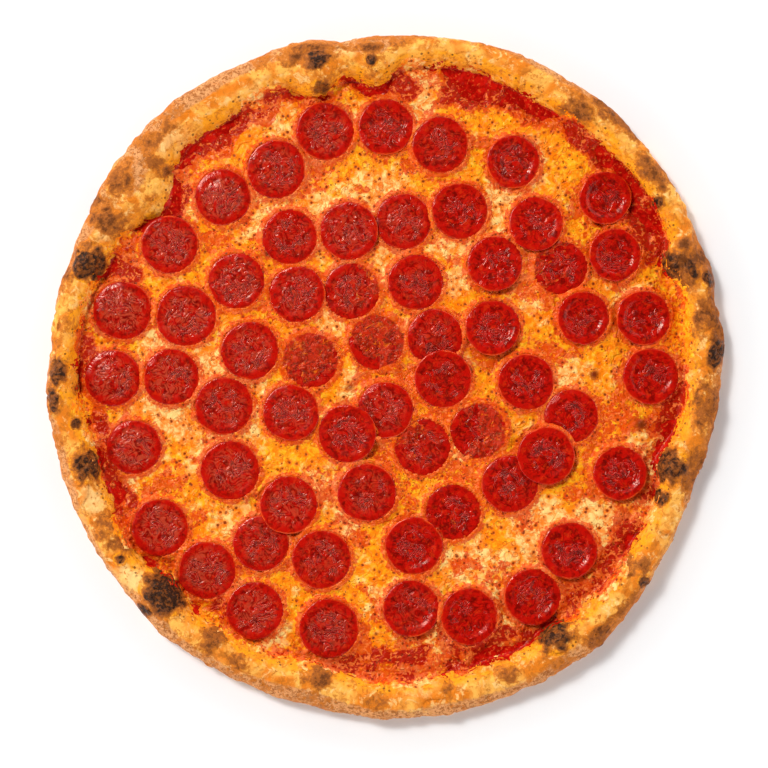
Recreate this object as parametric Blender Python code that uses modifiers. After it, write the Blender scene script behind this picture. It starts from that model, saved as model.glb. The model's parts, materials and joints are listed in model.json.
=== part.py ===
"""A whole pepperoni pizza: a baked crust, its sauce, its cheese and the slices of sausage on it.

Design lengths are in millimetres, and MM turns them into Blender's metres. Angles are in degrees,
anticlockwise from +X seen from above. The origin is on the ground under the middle of the crust.
"""

import itertools
import math

import bpy
import numpy as np
from mathutils import Vector

MM = 0.001

# Dough: a thin base inside a risen rim
DISH_RADIUS = 181.0        # nominal radius where the rim rises from the base
RIM_RADIUS = 204.0         # nominal radius at the widest ring of the rim
BASE_THICKNESS = 4.5
RIM_HEIGHT = 20.0
WAIST_HEIGHT = 8.0         # height of the widest ring
UNDERCUT = 7.0             # how far the rim curls in from the widest ring down to the ground
INNER_SLOPE = 1.25         # exponent of the rim's section: over 1 the side slopes, under 1 it bulges
OUTER_SLOPE = 0.75
BLISTER_SPREAD = 0.5       # share of a blister's height by which it also pushes the rim outwards
CRUST_STEPS = 144
RIM_STATIONS = (0, 18, 40, 62, 85, 108, 130, 150, 166, 180)
CURL_STATIONS = (30, 60, 90)

# Layers, each a small gap clear of what carries it
GAP = 0.3
SAUCE_THICKNESS = 0.9
SAUCE_MARGIN = 0.8         # from the foot of the rim to the edge of the sauce
CHEESE_THICKNESS = 2.6
CHEESE_MARGIN = 1.6
CHEESE_STEPS = 96
CHEESE_RINGS = (0.07, 0.17, 0.28, 0.4, 0.52, 0.64, 0.76, 0.88, 0.97)
FACET_SLACK = 0.05         # spare height, because coarse faces stand a little off the true curve

# Slices of sausage
SLICE_THICKNESS = 1.7
SUNK_THICKNESS = 1.0       # what stands clear of a slice that sank into the cheese
SLICE_STEPS = 16
SLICE_WOBBLE = 0.01        # unevenness of a slice's outline, as a share of its radius
SLICE_PROFILE = ((0.0, 1.0), (0.6, 1.0), (0.955, 0.94), (1.0, 0.5), (0.965, 0.0), (0.0, 0.0))
GOLDEN_ANGLE = 137.5

# Outer edge and foot of the rim, every 15 degrees from +X
OUTER_EDGE = (201, 203.5, 206.5, 209, 209, 207.5, 204, 205, 207.5, 207.5, 203.5, 201,
              200.5, 201.5, 201.5, 203, 202.5, 202, 204.5, 205, 205, 203, 197.5, 196.5)
RIM_FOOT = (178, 182, 189, 189, 186, 189, 184, 184, 180, 180, 176, 181,
            183, 176, 180, 180, 178, 176, 180, 180, 182, 180, 177, 175)

# Local bulges, as (angle, half width in degrees, amount)
EDGE_KNOBS = ((6, 2.5, 2.5), (17, 2, 3), (50, 1.5, 1), (97, 3, -3.5), (103, 5, 2),
              (184, 3.5, 2.5), (310, 3, 2))
INNER_LOBES = ((21.5, 3.5, 8), (92, 3.5, 12), (103, 5, 14), (142, 6, 13), (224.5, 4.5, 6),
               (257, 5, 3), (303.5, 4, 5), (342.5, 3.5, 7))
BARE_PATCHES = ((37, 10, 10), (72, 8, 14), (107, 3, 6), (124, 6, 8), (140, 7, 10), (158, 2, 5),
                (203, 4, 8), (218, 3, 7), (232, 3, 6), (250, 3, 6), (282, 2, 6), (295, 5, 11),
                (307, 2, 5), (329, 4, 8), (348, 4, 12))

# Blisters of the rim, as (angle, radius, half width, height)
BLISTERS = ((4.5, 199, 6, 1.5), (17, 203, 5, 2), (21.5, 186, 10, 3.5), (38, 203, 8, 1.5),
            (54, 199, 9, 1.5), (92, 197, 6, 1.5), (102, 197, 9, 2.5), (102, 179, 7, 2),
            (143.5, 195, 12, 3), (150.5, 190, 7, 1.5), (159, 190, 8, 2.5), (179, 197, 6, 1.5),
            (184, 199, 8, 2), (196.5, 186, 8, 2), (210, 190, 8, 1.5), (224.5, 186, 12, 4),
            (236.5, 187, 8, 2), (243, 193, 7, 1.5), (257.5, 184, 9, 2.5), (268, 195, 7, 1.5),
            (292.5, 193, 8, 2), (303.5, 186, 10, 3.5), (309.5, 202, 7, 1.5), (322.5, 189, 7, 1.5),
            (342.5, 179, 10, 3.5), (354, 195, 10, 2))

# Waves of the rim's height and of the cheese, as (cycles or wavelength, phase, amount)
RIM_WAVES = ((2, 40, 0.06), (3, 200, 0.05), (5, 310, 0.05), (8, 75, 0.03), (13, 150, 0.02))
CHEESE_WAVES = ((118, 25, 0.3), (150, 110, 0.25), (205, 290, 0.2))

# Slices, as number: (x, y, radius, dish), where the dish is how far the edge stands above the middle
SLICES = {
    1: (-35.7, 146.5, 17.4, 0.8), 2: (0.3, 149.2, 16.8, 1.1), 3: (33.0, 138.6, 17.0, 0.8),
    4: (-65.1, 123.9, 17.7, 0.5), 5: (76.3, 128.4, 16.0, 1.4), 6: (-96.8, 107.4, 17.0, -0.6),
    7: (131.2, 106.7, 15.8, 1.4), 8: (-128.5, 79.0, 17.2, 0.6), 9: (137.1, 72.8, 15.8, 1.4),
    10: (-57.0, 83.6, 16.6, 0.7), 11: (-21.4, 87.1, 17.5, 1.0), 12: (10.9, 92.7, 17.0, 0.0),
    13: (44.5, 99.2, 17.0, 1.1), 14: (90.0, 91.2, 16.4, 1.3), 15: (65.4, 67.5, 16.5, 1.2),
    16: (104.7, 65.4, 16.6, 0.0), 17: (-156.9, 39.6, 17.8, -0.8), 18: (-118.9, 36.7, 18.2, 0.6),
    19: (-88.7, 57.3, 17.0, 0.7), 20: (-52.6, 49.6, 17.0, 0.5), 21: (-19.8, 51.4, 17.2, 0.0),
    22: (18.2, 56.3, 16.8, 0.6), 23: (29.6, 23.9, 16.9, 0.0), 24: (64.2, 29.4, 16.7, 1.4),
    25: (118.0, 35.2, 15.9, 1.4), 26: (154.1, 35.2, 16.3, 1.4), 27: (-162.3, -0.6, 17.0, -0.8),
    28: (-127.7, 0.0, 16.9, 0.9), 29: (-80.6, 15.8, 17.5, 0.8), 30: (-96.1, -17.4, 17.4, 0.9),
    31: (-56.3, -21.2, 17.0, 0.8), 32: (34.8, -1.2, 17.3, 0.9), 33: (0.0, -19.8, 17.3, 0.0),
    34: (-22.4, -33.7, 17.5, 1.0), 35: (22.3, -41.8, 17.2, 0.0), 36: (84.1, -3.0, 17.0, 0.9),
    37: (111.3, -23.3, 16.3, 0.0), 38: (158.2, 0.4, 17.0, 1.4), 39: (95.9, -46.9, 17.3, 1.2),
    40: (74.5, -63.9, 17.3, 0.0), 41: (140.1, -57.6, 16.2, 1.4), 42: (-149.8, -41.8, 16.5, -0.8),
    43: (-92.4, -55.8, 17.8, 0.9), 44: (-57.7, -76.4, 17.4, 0.9), 45: (-134.2, -90.0, 17.2, 0.8),
    46: (-106.3, -115.4, 17.5, 0.8), 47: (-74.0, -99.2, 17.0, 0.0), 48: (-37.9, -108.8, 17.8, 1.0),
    49: (-77.8, -139.5, 17.2, 0.9), 50: (-33.4, -149.8, 17.8, 0.8), 51: (-10.6, -69.1, 17.6, 1.1),
    52: (17.1, -100.7, 17.4, 1.2), 53: (40.7, -80.8, 17.0, 0.0), 54: (15.6, -138.3, 17.0, 1.3),
    55: (50.2, -142.7, 17.1, 1.3), 56: (87.8, -131.2, 17.0, 1.3), 57: (109.9, -103.6, 17.0, 1.2),
}
SUNK_SLICES = (16, 21, 35, 53)
# Slices that lean on others, in the order in which they were laid: upper, then those under it
LEANING = {11: (12,), 14: (16,), 20: (21,), 32: (23,), 33: (35,), 34: (33,), 39: (37, 40),
           44: (47,), 52: (53,)}
# Slices that the cheese covers stay low mounds in it
COVERED_SLICES = ((-44.5, 10.2), (-4.8, 21.1), (55.9, -32.2))
MOUND_HEIGHT = 0.6
MOUND_WIDTH = 14.0

SAUCE_BOTTOM = BASE_THICKNESS + GAP
CHEESE_BOTTOM = SAUCE_BOTTOM + SAUCE_THICKNESS + GAP
CHEESE_TOP = CHEESE_BOTTOM + CHEESE_THICKNESS


def clear_scene():
    """Removes every object, so that the model stands alone."""
    for old in list(bpy.data.objects):
        bpy.data.objects.remove(old, do_unlink=True)


def new_collection(name):
    """Returns a new collection of the scene."""
    collection = bpy.data.collections.new(name)
    bpy.context.scene.collection.children.link(collection)
    return collection


def new_material(name, colour, roughness):
    """Returns a plain material with a Principled shader."""
    material = bpy.data.materials.new(name)
    material.use_nodes = True
    shader = material.node_tree.nodes["Principled BSDF"]
    shader.inputs["Base Color"].default_value = (*colour, 1.0)
    shader.inputs["Roughness"].default_value = roughness
    shader.inputs["Metallic"].default_value = 0.0
    material.diffuse_color = (*colour, 1.0)
    return material


def turned_mesh(name, profile, steps):
    """Returns a closed solid turned about Z.

    The profile is in metres. It starts on the axis at the top, runs outwards and down, and ends on
    the axis at the bottom.
    """
    outline = bpy.data.meshes.new(name + "_profile")
    edges = [(i, i + 1) for i in range(len(profile) - 1)]
    outline.from_pydata([(radius, 0.0, height) for radius, height in profile], edges, [])
    blank = bpy.data.objects.new(name + "_profile", outline)
    bpy.context.scene.collection.objects.link(blank)
    screw = blank.modifiers.new("turn", "SCREW")
    screw.steps = steps
    screw.render_steps = steps
    screw.use_merge_vertices = True
    screw.merge_threshold = 0.00001
    evaluated = blank.evaluated_get(bpy.context.evaluated_depsgraph_get())
    mesh = bpy.data.meshes.new_from_object(evaluated)
    mesh.name = name
    bpy.data.objects.remove(blank, do_unlink=True)
    bpy.data.meshes.remove(outline)
    return mesh


def reshape(mesh, place):
    """Moves every vertex to where place(x, y, z), in millimetres, puts it."""
    for vertex in mesh.vertices:
        vertex.co = Vector(place(*(vertex.co / MM))) * MM
    mesh.shade_smooth()
    mesh.set_sharp_from_angle(angle=math.radians(50))


def add_object(name, mesh, material, collection, parent):
    """Adds a named object of the mesh, with its material, under the parent."""
    mesh.materials.append(material)
    solid = bpy.data.objects.new(name, mesh)
    solid.parent = parent
    collection.objects.link(solid)
    return solid


def turn_between(angle, centre):
    """Returns the signed angle from centre to angle, from -180 to 180."""
    return (angle - centre + 180.0) % 360.0 - 180.0


def closed_curve(values, angle):
    """Returns a smooth closed curve through values that are spaced evenly round the circle."""
    count = len(values)
    place = angle % 360.0 / 360.0 * count
    step = int(place)
    t = place - step
    a, b, c, d = (values[(step + offset) % count] for offset in (-1, 0, 1, 2))
    return b + 0.5 * t * (c - a + t * (2 * a - 5 * b + 4 * c - d + t * (3 * (b - c) + d - a)))


def bulges(spots, angle):
    """Returns the sum of the bulges (angle, half width, amount) at an angle."""
    return sum(amount * math.exp(-(turn_between(angle, centre) / half) ** 2)
               for centre, half, amount in spots)


def outer_edge(angle):
    """Returns the radius of the rim's widest ring."""
    return closed_curve(OUTER_EDGE, angle) + bulges(EDGE_KNOBS, angle)


def rim_foot(angle):
    """Returns the radius at which the rim rises from the base."""
    return closed_curve(RIM_FOOT, angle) - bulges(INNER_LOBES, angle)


def sauce_edge(angle):
    """Returns the radius of the edge of the sauce."""
    return rim_foot(angle) - SAUCE_MARGIN


def cheese_edge(angle):
    """Returns the radius of the edge of the cheese, which leaves some of the sauce bare."""
    nearest = min(rim_foot(angle + side) for side in (-2.5, 0.0, 2.5))
    return nearest - CHEESE_MARGIN - bulges(BARE_PATCHES, angle)


def rim_rise(angle):
    """Returns the height of the rim as a share of its nominal height."""
    return 1.0 + sum(amount * math.sin(math.radians(cycles * angle + phase))
                     for cycles, phase, amount in RIM_WAVES)


def blister_height(x, y):
    """Returns how far the blisters lift the rim over a point of the ground."""
    lift = 0.0
    for angle, radius, half_width, height in BLISTERS:
        centre_x = radius * math.cos(math.radians(angle))
        centre_y = radius * math.sin(math.radians(angle))
        lift += height * math.exp(-((x - centre_x) ** 2 + (y - centre_y) ** 2) / half_width ** 2)
    return lift


def cheese_top(x, y):
    """Returns the height of the cheese, which waves a little and swells over covered slices."""
    height = CHEESE_TOP
    for wavelength, heading, amount in CHEESE_WAVES:
        along = x * math.cos(math.radians(heading)) + y * math.sin(math.radians(heading))
        height += amount * math.sin(2.0 * math.pi * along / wavelength)
    for centre_x, centre_y in COVERED_SLICES:
        apart = math.hypot(x - centre_x, y - centre_y)
        height += MOUND_HEIGHT * math.exp(-(apart / MOUND_WIDTH) ** 2)
    return height


def crust_profile():
    """Returns the section of the dough: the base, the rounded rim and the flat underside."""
    profile = [(0.0, BASE_THICKNESS)]
    for station in RIM_STATIONS:
        share = 0.5 * (1.0 - math.cos(math.radians(station)))
        level = BASE_THICKNESS + (WAIST_HEIGHT - BASE_THICKNESS) * share
        slope = INNER_SLOPE + (OUTER_SLOPE - INNER_SLOPE) * share
        swell = max(math.sin(math.radians(station)), 0.0) ** slope
        radius = DISH_RADIUS + (RIM_RADIUS - DISH_RADIUS) * share
        profile.append((radius, level + (RIM_HEIGHT - level) * swell))
    for station in CURL_STATIONS:
        turn = math.radians(station)
        radius = RIM_RADIUS - UNDERCUT * (1.0 - math.cos(turn))
        profile.append((radius, WAIST_HEIGHT * (1.0 - math.sin(turn))))
    profile.append((0.0, 0.0))
    return profile


def crust_place(x, y, z):
    """Bends a point of the round nominal crust to the uneven baked one."""
    radius = math.hypot(x, y)
    if radius < 1.0:
        return x, y, z
    angle = math.degrees(math.atan2(y, x))
    foot, edge = rim_foot(angle), outer_edge(angle)
    across = (radius - DISH_RADIUS) / (RIM_RADIUS - DISH_RADIUS)
    bent = foot + across * (edge - foot) if across > 0.0 else radius * foot / DISH_RADIUS
    x, y = x * bent / radius, y * bent / radius
    if z <= BASE_THICKNESS or across <= 0.001:
        return x, y, z
    rise = z - BASE_THICKNESS
    share = min(rise / (WAIST_HEIGHT - BASE_THICKNESS), 1.0)
    lift = blister_height(x, y) * share
    outwards = 1.0 + BLISTER_SPREAD * lift * max(across - 0.5, 0.0) / bent
    return x * outwards, y * outwards, BASE_THICKNESS + rise * rim_rise(angle) + lift


def sauce_place(x, y, z):
    """Gives a point of the round nominal sauce its true outline."""
    scale = sauce_edge(math.degrees(math.atan2(y, x))) / DISH_RADIUS
    return x * scale, y * scale, z


def cheese_place(x, y, z):
    """Gives a point of the round flat cheese its true outline and its waving top."""
    scale = cheese_edge(math.degrees(math.atan2(y, x))) / DISH_RADIUS
    x, y = x * scale, y * scale
    share = (z - CHEESE_BOTTOM) / CHEESE_THICKNESS
    return x, y, z + share * (cheese_top(x, y) - CHEESE_TOP)


def make_crust(material, collection, parent):
    """Adds the dough: base and rim in one baked piece."""
    profile = [(radius * MM, height * MM) for radius, height in crust_profile()]
    mesh = turned_mesh("crust", profile, CRUST_STEPS)
    reshape(mesh, crust_place)
    add_object("crust", mesh, material, collection, parent)


def make_sauce(material, collection, parent):
    """Adds the thin layer of sauce that lies on the base out to the rim."""
    top = SAUCE_BOTTOM + SAUCE_THICKNESS
    profile = [(0.0, top * MM), (DISH_RADIUS * MM, top * MM),
               (DISH_RADIUS * MM, SAUCE_BOTTOM * MM), (0.0, SAUCE_BOTTOM * MM)]
    mesh = turned_mesh("sauce", profile, CRUST_STEPS)
    reshape(mesh, sauce_place)
    add_object("sauce", mesh, material, collection, parent)


def make_cheese(material, collection, parent):
    """Adds the melted cheese, with a rounded edge that stops short of the rim."""
    profile = [(0.0, CHEESE_TOP)]
    profile += [(DISH_RADIUS * share, CHEESE_TOP) for share in CHEESE_RINGS]
    profile += [(DISH_RADIUS, 0.5 * (CHEESE_TOP + CHEESE_BOTTOM)),
                (DISH_RADIUS * CHEESE_RINGS[-1], CHEESE_BOTTOM), (0.0, CHEESE_BOTTOM)]
    profile = [(radius * MM, height * MM) for radius, height in profile]
    mesh = turned_mesh("cheese", profile, CHEESE_STEPS)
    reshape(mesh, cheese_place)
    add_object("cheese", mesh, material, collection, parent)


def ring_points(x, y, radius, count):
    """Returns points spaced evenly on a circle."""
    turns = [2.0 * math.pi * i / count for i in range(count)]
    return [(x + radius * math.cos(turn), y + radius * math.sin(turn)) for turn in turns]


def lowest_plane(points, heights):
    """Returns the plane (slope x, slope y, height) that rests on the supports.

    It clears every support and is as low as it can be over the middle of the slice, which is where
    a flat slice comes to rest on three of them.
    """
    supports = np.column_stack([points, np.ones(len(points))])
    trios = np.array(list(itertools.combinations(range(len(points)), 3)))
    matrices = supports[trios]
    sound = np.abs(np.linalg.det(matrices)) > 1.0
    planes = np.linalg.solve(matrices[sound], heights[trios[sound]][..., None])[..., 0]
    clears = (supports @ planes.T >= heights[:, None] - 1e-6).all(axis=0)
    resting = planes[clears]
    return resting[np.argmin(resting[:, 2])]


def rest_slices():
    """Returns the plane on which each slice lies, with the lower slices first.

    A slice touches the cheese, and where it leans on others their top faces too.
    """
    planes = {}
    for number in sorted(SLICES, key=stack_level):
        x, y, radius, dish = SLICES[number]
        spots = [(x, y)] + ring_points(x, y, 0.6 * radius, 8) + ring_points(x, y, radius, 16)
        for lower in LEANING.get(number, ()):
            lower_x, lower_y, lower_radius, _ = SLICES[lower]
            spots += [spot for spot in ring_points(lower_x, lower_y, lower_radius + 0.4, 32)
                      if math.hypot(spot[0] - x, spot[1] - y) < radius + 0.4]
        heights = []
        for spot in spots:
            height = cheese_top(*spot)
            for lower in LEANING.get(number, ()):
                lower_x, lower_y, lower_radius, _ = SLICES[lower]
                if math.hypot(spot[0] - lower_x, spot[1] - lower_y) < lower_radius + 0.6:
                    slope_x, slope_y, middle = planes[lower]
                    surface = middle + slope_x * (spot[0] - lower_x) + slope_y * (spot[1] - lower_y)
                    height = max(height, surface + thickness_of(lower))
            share = math.hypot(spot[0] - x, spot[1] - y) / radius
            heights.append(height + GAP + FACET_SLACK - dish * share)
        local = np.array(spots) - np.array((x, y))
        planes[number] = lowest_plane(local, np.array(heights))
    return planes


def stack_level(number):
    """Returns how many slices lie under a slice, one on another."""
    return max((1 + stack_level(lower) for lower in LEANING.get(number, ())), default=0)


def thickness_of(number):
    """Returns the thickness of a slice above the cheese that carries it."""
    return SUNK_THICKNESS if number in SUNK_SLICES else SLICE_THICKNESS


def slice_place(number):
    """Returns a function that gives the unit disc one slice's size, dish and uneven outline."""
    radius, dish = SLICES[number][2:]
    thickness = thickness_of(number)
    phase = math.radians(GOLDEN_ANGLE * number)

    def place(x, y, z):
        share = math.hypot(x, y)
        turn = math.atan2(y, x)
        wobble = 1.0 + SLICE_WOBBLE * (math.sin(2 * turn + phase) + 0.6 * math.sin(3 * turn - phase))
        return x * radius * wobble, y * radius * wobble, z * thickness + dish * share ** (1.0 + z)
    return place


def make_slices(material, collection, parent):
    """Adds the slices, each one a turned disc bent to its own shape and laid on its plane."""
    disc = turned_mesh("disc", [(radius * MM, height * MM) for radius, height in SLICE_PROFILE],
                       SLICE_STEPS)
    for number, (slope_x, slope_y, height) in sorted(rest_slices().items()):
        name = "pepperoni_%02d" % number
        mesh = disc.copy()
        mesh.name = name
        reshape(mesh, slice_place(number))
        slice_object = add_object(name, mesh, material, collection, parent)
        slice_object.location = Vector((SLICES[number][0], SLICES[number][1], height)) * MM
        slice_object.rotation_mode = "QUATERNION"
        normal = Vector((-slope_x, -slope_y, 1.0))
        slice_object.rotation_quaternion = Vector((0.0, 0.0, 1.0)).rotation_difference(normal)
    bpy.data.meshes.remove(disc)


def make_pizza():
    """Builds the whole pizza under one empty."""
    clear_scene()
    collection = new_collection("pepperoni_pizza")
    pizza = bpy.data.objects.new("pizza", None)
    collection.objects.link(pizza)
    make_crust(new_material("baked_crust", (0.72, 0.42, 0.16), 0.75), collection, pizza)
    make_sauce(new_material("tomato_sauce", (0.45, 0.02, 0.01), 0.35), collection, pizza)
    make_cheese(new_material("melted_cheese", (0.95, 0.5, 0.08), 0.35), collection, pizza)
    make_slices(new_material("pepperoni", (0.38, 0.03, 0.02), 0.35), collection, pizza)


make_pizza()
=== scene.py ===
"""Looks of a whole pepperoni pizza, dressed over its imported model.

Sizes are in millimetres unless a name or a comment says otherwise, and MM turns them into metres.
Angles are in degrees, anticlockwise from +X seen from above.
"""

import itertools
import json
import logging
import math
from dataclasses import dataclass, field
from enum import Enum
from typing import Any

import bpy
import numpy as np
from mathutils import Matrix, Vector
from mathutils.bvhtree import BVHTree

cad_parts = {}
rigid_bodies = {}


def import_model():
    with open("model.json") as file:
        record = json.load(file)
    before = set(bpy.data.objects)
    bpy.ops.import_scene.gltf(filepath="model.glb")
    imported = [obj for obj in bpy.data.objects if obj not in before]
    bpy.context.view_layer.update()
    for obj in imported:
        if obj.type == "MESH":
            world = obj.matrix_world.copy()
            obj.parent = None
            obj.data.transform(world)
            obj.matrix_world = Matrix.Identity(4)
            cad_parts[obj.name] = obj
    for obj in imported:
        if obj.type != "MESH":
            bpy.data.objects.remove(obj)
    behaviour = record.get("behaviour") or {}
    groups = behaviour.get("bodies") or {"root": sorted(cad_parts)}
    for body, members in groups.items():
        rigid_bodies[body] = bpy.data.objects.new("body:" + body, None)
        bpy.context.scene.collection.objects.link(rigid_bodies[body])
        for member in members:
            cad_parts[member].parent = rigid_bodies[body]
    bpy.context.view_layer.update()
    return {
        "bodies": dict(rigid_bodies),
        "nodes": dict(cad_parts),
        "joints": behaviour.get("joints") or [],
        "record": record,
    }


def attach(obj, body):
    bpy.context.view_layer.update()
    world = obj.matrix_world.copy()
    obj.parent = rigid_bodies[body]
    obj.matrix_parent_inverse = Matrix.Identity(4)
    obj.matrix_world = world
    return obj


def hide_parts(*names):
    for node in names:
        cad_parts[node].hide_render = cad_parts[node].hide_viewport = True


MM = 0.001
BODY = "root"
LOG = logging.getLogger("pizza")
Colour = tuple[float, float, float]


def smooth_step(value: np.ndarray, low: float, high: float) -> np.ndarray:
    """Returns a smooth rise from 0 at low to 1 at high, or a fall where high is the lower."""
    share = np.clip((value - low) / (high - low), 0.0, 1.0)
    return share * share * (3.0 - 2.0 * share)


def turn_between(angles: np.ndarray, centre: float) -> np.ndarray:
    """Returns the signed angles from a centre, from -180 to 180 degrees."""
    return (angles - centre + 180.0) % 360.0 - 180.0


class Noise:
    """Random fields over points in millimetres, the same on each run."""

    @staticmethod
    def lattice(cells: np.ndarray, seed: int) -> np.ndarray:
        """Returns a random number from 0 to 1 for each whole-numbered cell.

        Args:
            cells: Whole numbers, with x, y and z along the last axis.
            seed: Which of the random fields is read.

        Returns:
            One number for each cell.
        """
        x, y, z = (cells[..., axis].astype(np.int64) for axis in range(3))
        mixed = (x * 374761393 + y * 668265263 + z * 1442695041 + seed * 974634777) & 0xFFFFFFFF
        mixed = ((mixed ^ (mixed >> 13)) * 1274126177) & 0xFFFFFFFF
        mixed ^= mixed >> 16
        return (mixed & 0xFFFFFF) / 0xFFFFFF

    @classmethod
    def smooth(cls, points: np.ndarray, size: float, seed: int) -> np.ndarray:
        """Returns one octave of noise, from -1 to 1, whose features are about size across."""
        scaled = points / size
        base = np.floor(scaled)
        part = scaled - base
        ease = part * part * (3.0 - 2.0 * part)
        total = np.zeros(points.shape[:-1])
        for corner in itertools.product((0, 1), repeat=3):
            weight = np.prod(np.where(corner, ease, 1.0 - ease), axis=-1)
            total += weight * cls.lattice(base + corner, seed)
        return 2.0 * total - 1.0

    @classmethod
    def fractal(cls, points: np.ndarray, size: float, octaves: int, seed: int) -> np.ndarray:
        """Returns several octaves of noise, each half as large and half as strong as the last."""
        total = np.zeros(points.shape[:-1])
        for octave in range(octaves):
            total += cls.smooth(points, size / 2 ** octave, seed + octave) / 2 ** octave
        return total

    @classmethod
    def spots(cls, points: np.ndarray, size: float, seed: int, flat: bool = False,
              ) -> tuple[np.ndarray, np.ndarray]:
        """Measures to a random spot in each cell of a grid.

        Args:
            points: Points in millimetres, with x, y and z along the last axis.
            size: The grid's step.
            seed: Which of the random fields is read.
            flat: Whether the points lie in one plane, z = 0.

        Returns:
            The distance to the nearest spot and a random number of that spot.
        """
        scaled = points / size
        base = np.floor(scaled)
        nearest = np.full(points.shape[:-1], np.inf)
        tone = np.zeros(points.shape[:-1])
        depth = (0,) if flat else (-1, 0, 1)
        for step in itertools.product((-1, 0, 1), (-1, 0, 1), depth):
            cell = base + step
            shift = np.stack([cls.lattice(cell, seed + axis) for axis in range(3)], axis=-1)
            if flat:
                shift[..., 2] = 0.0
            apart = np.linalg.norm(cell + shift - scaled, axis=-1) * size
            closer = apart < nearest
            nearest = np.where(closer, apart, nearest)
            tone = np.where(closer, cls.lattice(cell, seed + 7), tone)
        return nearest, tone


@dataclass(frozen=True)
class Patches:
    """Patches of noise: the noise's size in millimetres and form, and the values that it rises between."""

    size: float
    detail: float
    roughness: float
    distortion: float
    shift: float
    low: float
    high: float
    top: float = 1.0


class Paint:
    """Builds one material node by node."""

    def __init__(self, name: str) -> None:
        """Makes an empty material with a Principled shader.

        Args:
            name: The material's name.
        """
        self.material = bpy.data.materials.new(name)
        self.material.use_nodes = True
        self.tree = self.material.node_tree
        self.shader = self.tree.nodes["Principled BSDF"]
        self.place = self.tree.nodes.new("ShaderNodeTexCoord").outputs["Object"]

    def _feed(self, socket: Any, value: Any) -> None:
        """Links a socket to another node's output, or sets its value."""
        if isinstance(value, bpy.types.NodeSocket):
            self.tree.links.new(value, socket)
        elif isinstance(value, tuple) and len(value) == 3 and socket.type == "RGBA":
            socket.default_value = (*value, 1.0)
        else:
            socket.default_value = value

    def attribute(self, name: str) -> Any:
        """Returns the piece's own named attribute."""
        node = self.tree.nodes.new("ShaderNodeAttribute")
        node.attribute_name = name
        return node.outputs["Fac"]

    def noise(self, size: float, detail: float = 2.0, roughness: float = 0.5,
              distortion: float = 0.0, shift: float = 0.0) -> Any:
        """Returns noise from 0 to 1 whose features are about size millimetres across."""
        node = self.tree.nodes.new("ShaderNodeTexNoise")
        self._feed(node.inputs["Vector"], self.shifted(shift))
        node.inputs["Scale"].default_value = 1.0 / (size * MM)
        node.inputs["Detail"].default_value = detail
        node.inputs["Roughness"].default_value = roughness
        node.inputs["Distortion"].default_value = distortion
        return node.outputs[0]

    def patches(self, kind: Patches) -> Any:
        """Returns patches of noise, from 0 between them to their top inside them."""
        noise = self.noise(kind.size, kind.detail, kind.roughness, kind.distortion, kind.shift)
        return self.rise(noise, kind.low, kind.high, kind.top)

    def shifted(self, shift: float) -> Any:
        """Returns the object's coordinates, moved along every axis by shift metres."""
        if not shift:
            return self.place
        node = self.tree.nodes.new("ShaderNodeMapping")
        self._feed(node.inputs["Vector"], self.place)
        node.inputs["Location"].default_value = (shift, shift, shift)
        return node.outputs[0]

    def cells(self, size: float, shift: float = 0.0, randomness: float = 1.0, sway: float = 0.0,
              ) -> tuple[Any, Any]:
        """Measures to the nearest of many spots.

        Args:
            size: The mean distance between spots, in millimetres.
            shift: How far the pattern is moved, in metres.
            randomness: How far the spots lie from a grid.
            sway: How far the outlines are bent, in millimetres.

        Returns:
            The distance as a share of size, and a random colour of the spot.
        """
        node = self.tree.nodes.new("ShaderNodeTexVoronoi")
        self._feed(node.inputs["Vector"], self.swayed(self.shifted(shift), sway))
        node.inputs["Scale"].default_value = 1.0 / (size * MM)
        node.inputs["Randomness"].default_value = randomness
        return node.outputs["Distance"], node.outputs["Color"]

    def swayed(self, place: Any, sway: float) -> Any:
        """Returns a place, moved about by noise by sway millimetres."""
        if not sway:
            return place
        node = self.tree.nodes.new("ShaderNodeTexNoise")
        self._feed(node.inputs["Vector"], place)
        node.inputs["Scale"].default_value = 1.0 / (3.0 * MM)
        shift = self.tree.nodes.new("ShaderNodeVectorMath")
        shift.operation = "MULTIPLY_ADD"
        self._feed(shift.inputs[0], node.outputs[1])
        shift.inputs[1].default_value = (2.0 * sway * MM,) * 3
        self._feed(shift.inputs[2], place)
        return shift.outputs[0]

    def specks(self, size: float, radius: float, spare: float, top: float, shift: float = 0.5) -> Any:
        """Returns where small round specks lie.

        Args:
            size: The mean distance between specks, in millimetres.
            radius: A speck's radius as a share of size.
            spare: The share of places without a speck.
            top: How strong a speck is.
            shift: How far the pattern is moved, in metres.

        Returns:
            A number from 0 to top.
        """
        apart, tone = self.cells(size, shift, 1.0, 0.35)
        chance = self.red_of(tone)
        near = self.math("SUBTRACT", 1.0, self.rise(apart, 0.55 * radius, radius))
        return self.product(near, self.rise(chance, spare, spare + 0.04, top))

    def rise(self, value: Any, low: float, high: float, top: float = 1.0) -> Any:
        """Returns a smooth rise of value from 0 at low to top at high."""
        node = self.tree.nodes.new("ShaderNodeMapRange")
        node.interpolation_type = "SMOOTHSTEP"
        self._feed(node.inputs["Value"], value)
        node.inputs["From Min"].default_value = low
        node.inputs["From Max"].default_value = high
        node.inputs["To Min"].default_value = 0.0
        node.inputs["To Max"].default_value = top
        return node.outputs["Result"]

    def math(self, operation: str, first: Any, second: Any = 0.0) -> Any:
        """Returns the result of one operation on two values."""
        node = self.tree.nodes.new("ShaderNodeMath")
        node.operation = operation
        self._feed(node.inputs[0], first)
        self._feed(node.inputs[1], second)
        return node.outputs[0]

    def product(self, *values: Any) -> Any:
        """Returns the product of several values."""
        total = values[0]
        for value in values[1:]:
            total = self.math("MULTIPLY", total, value)
        return total

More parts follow.
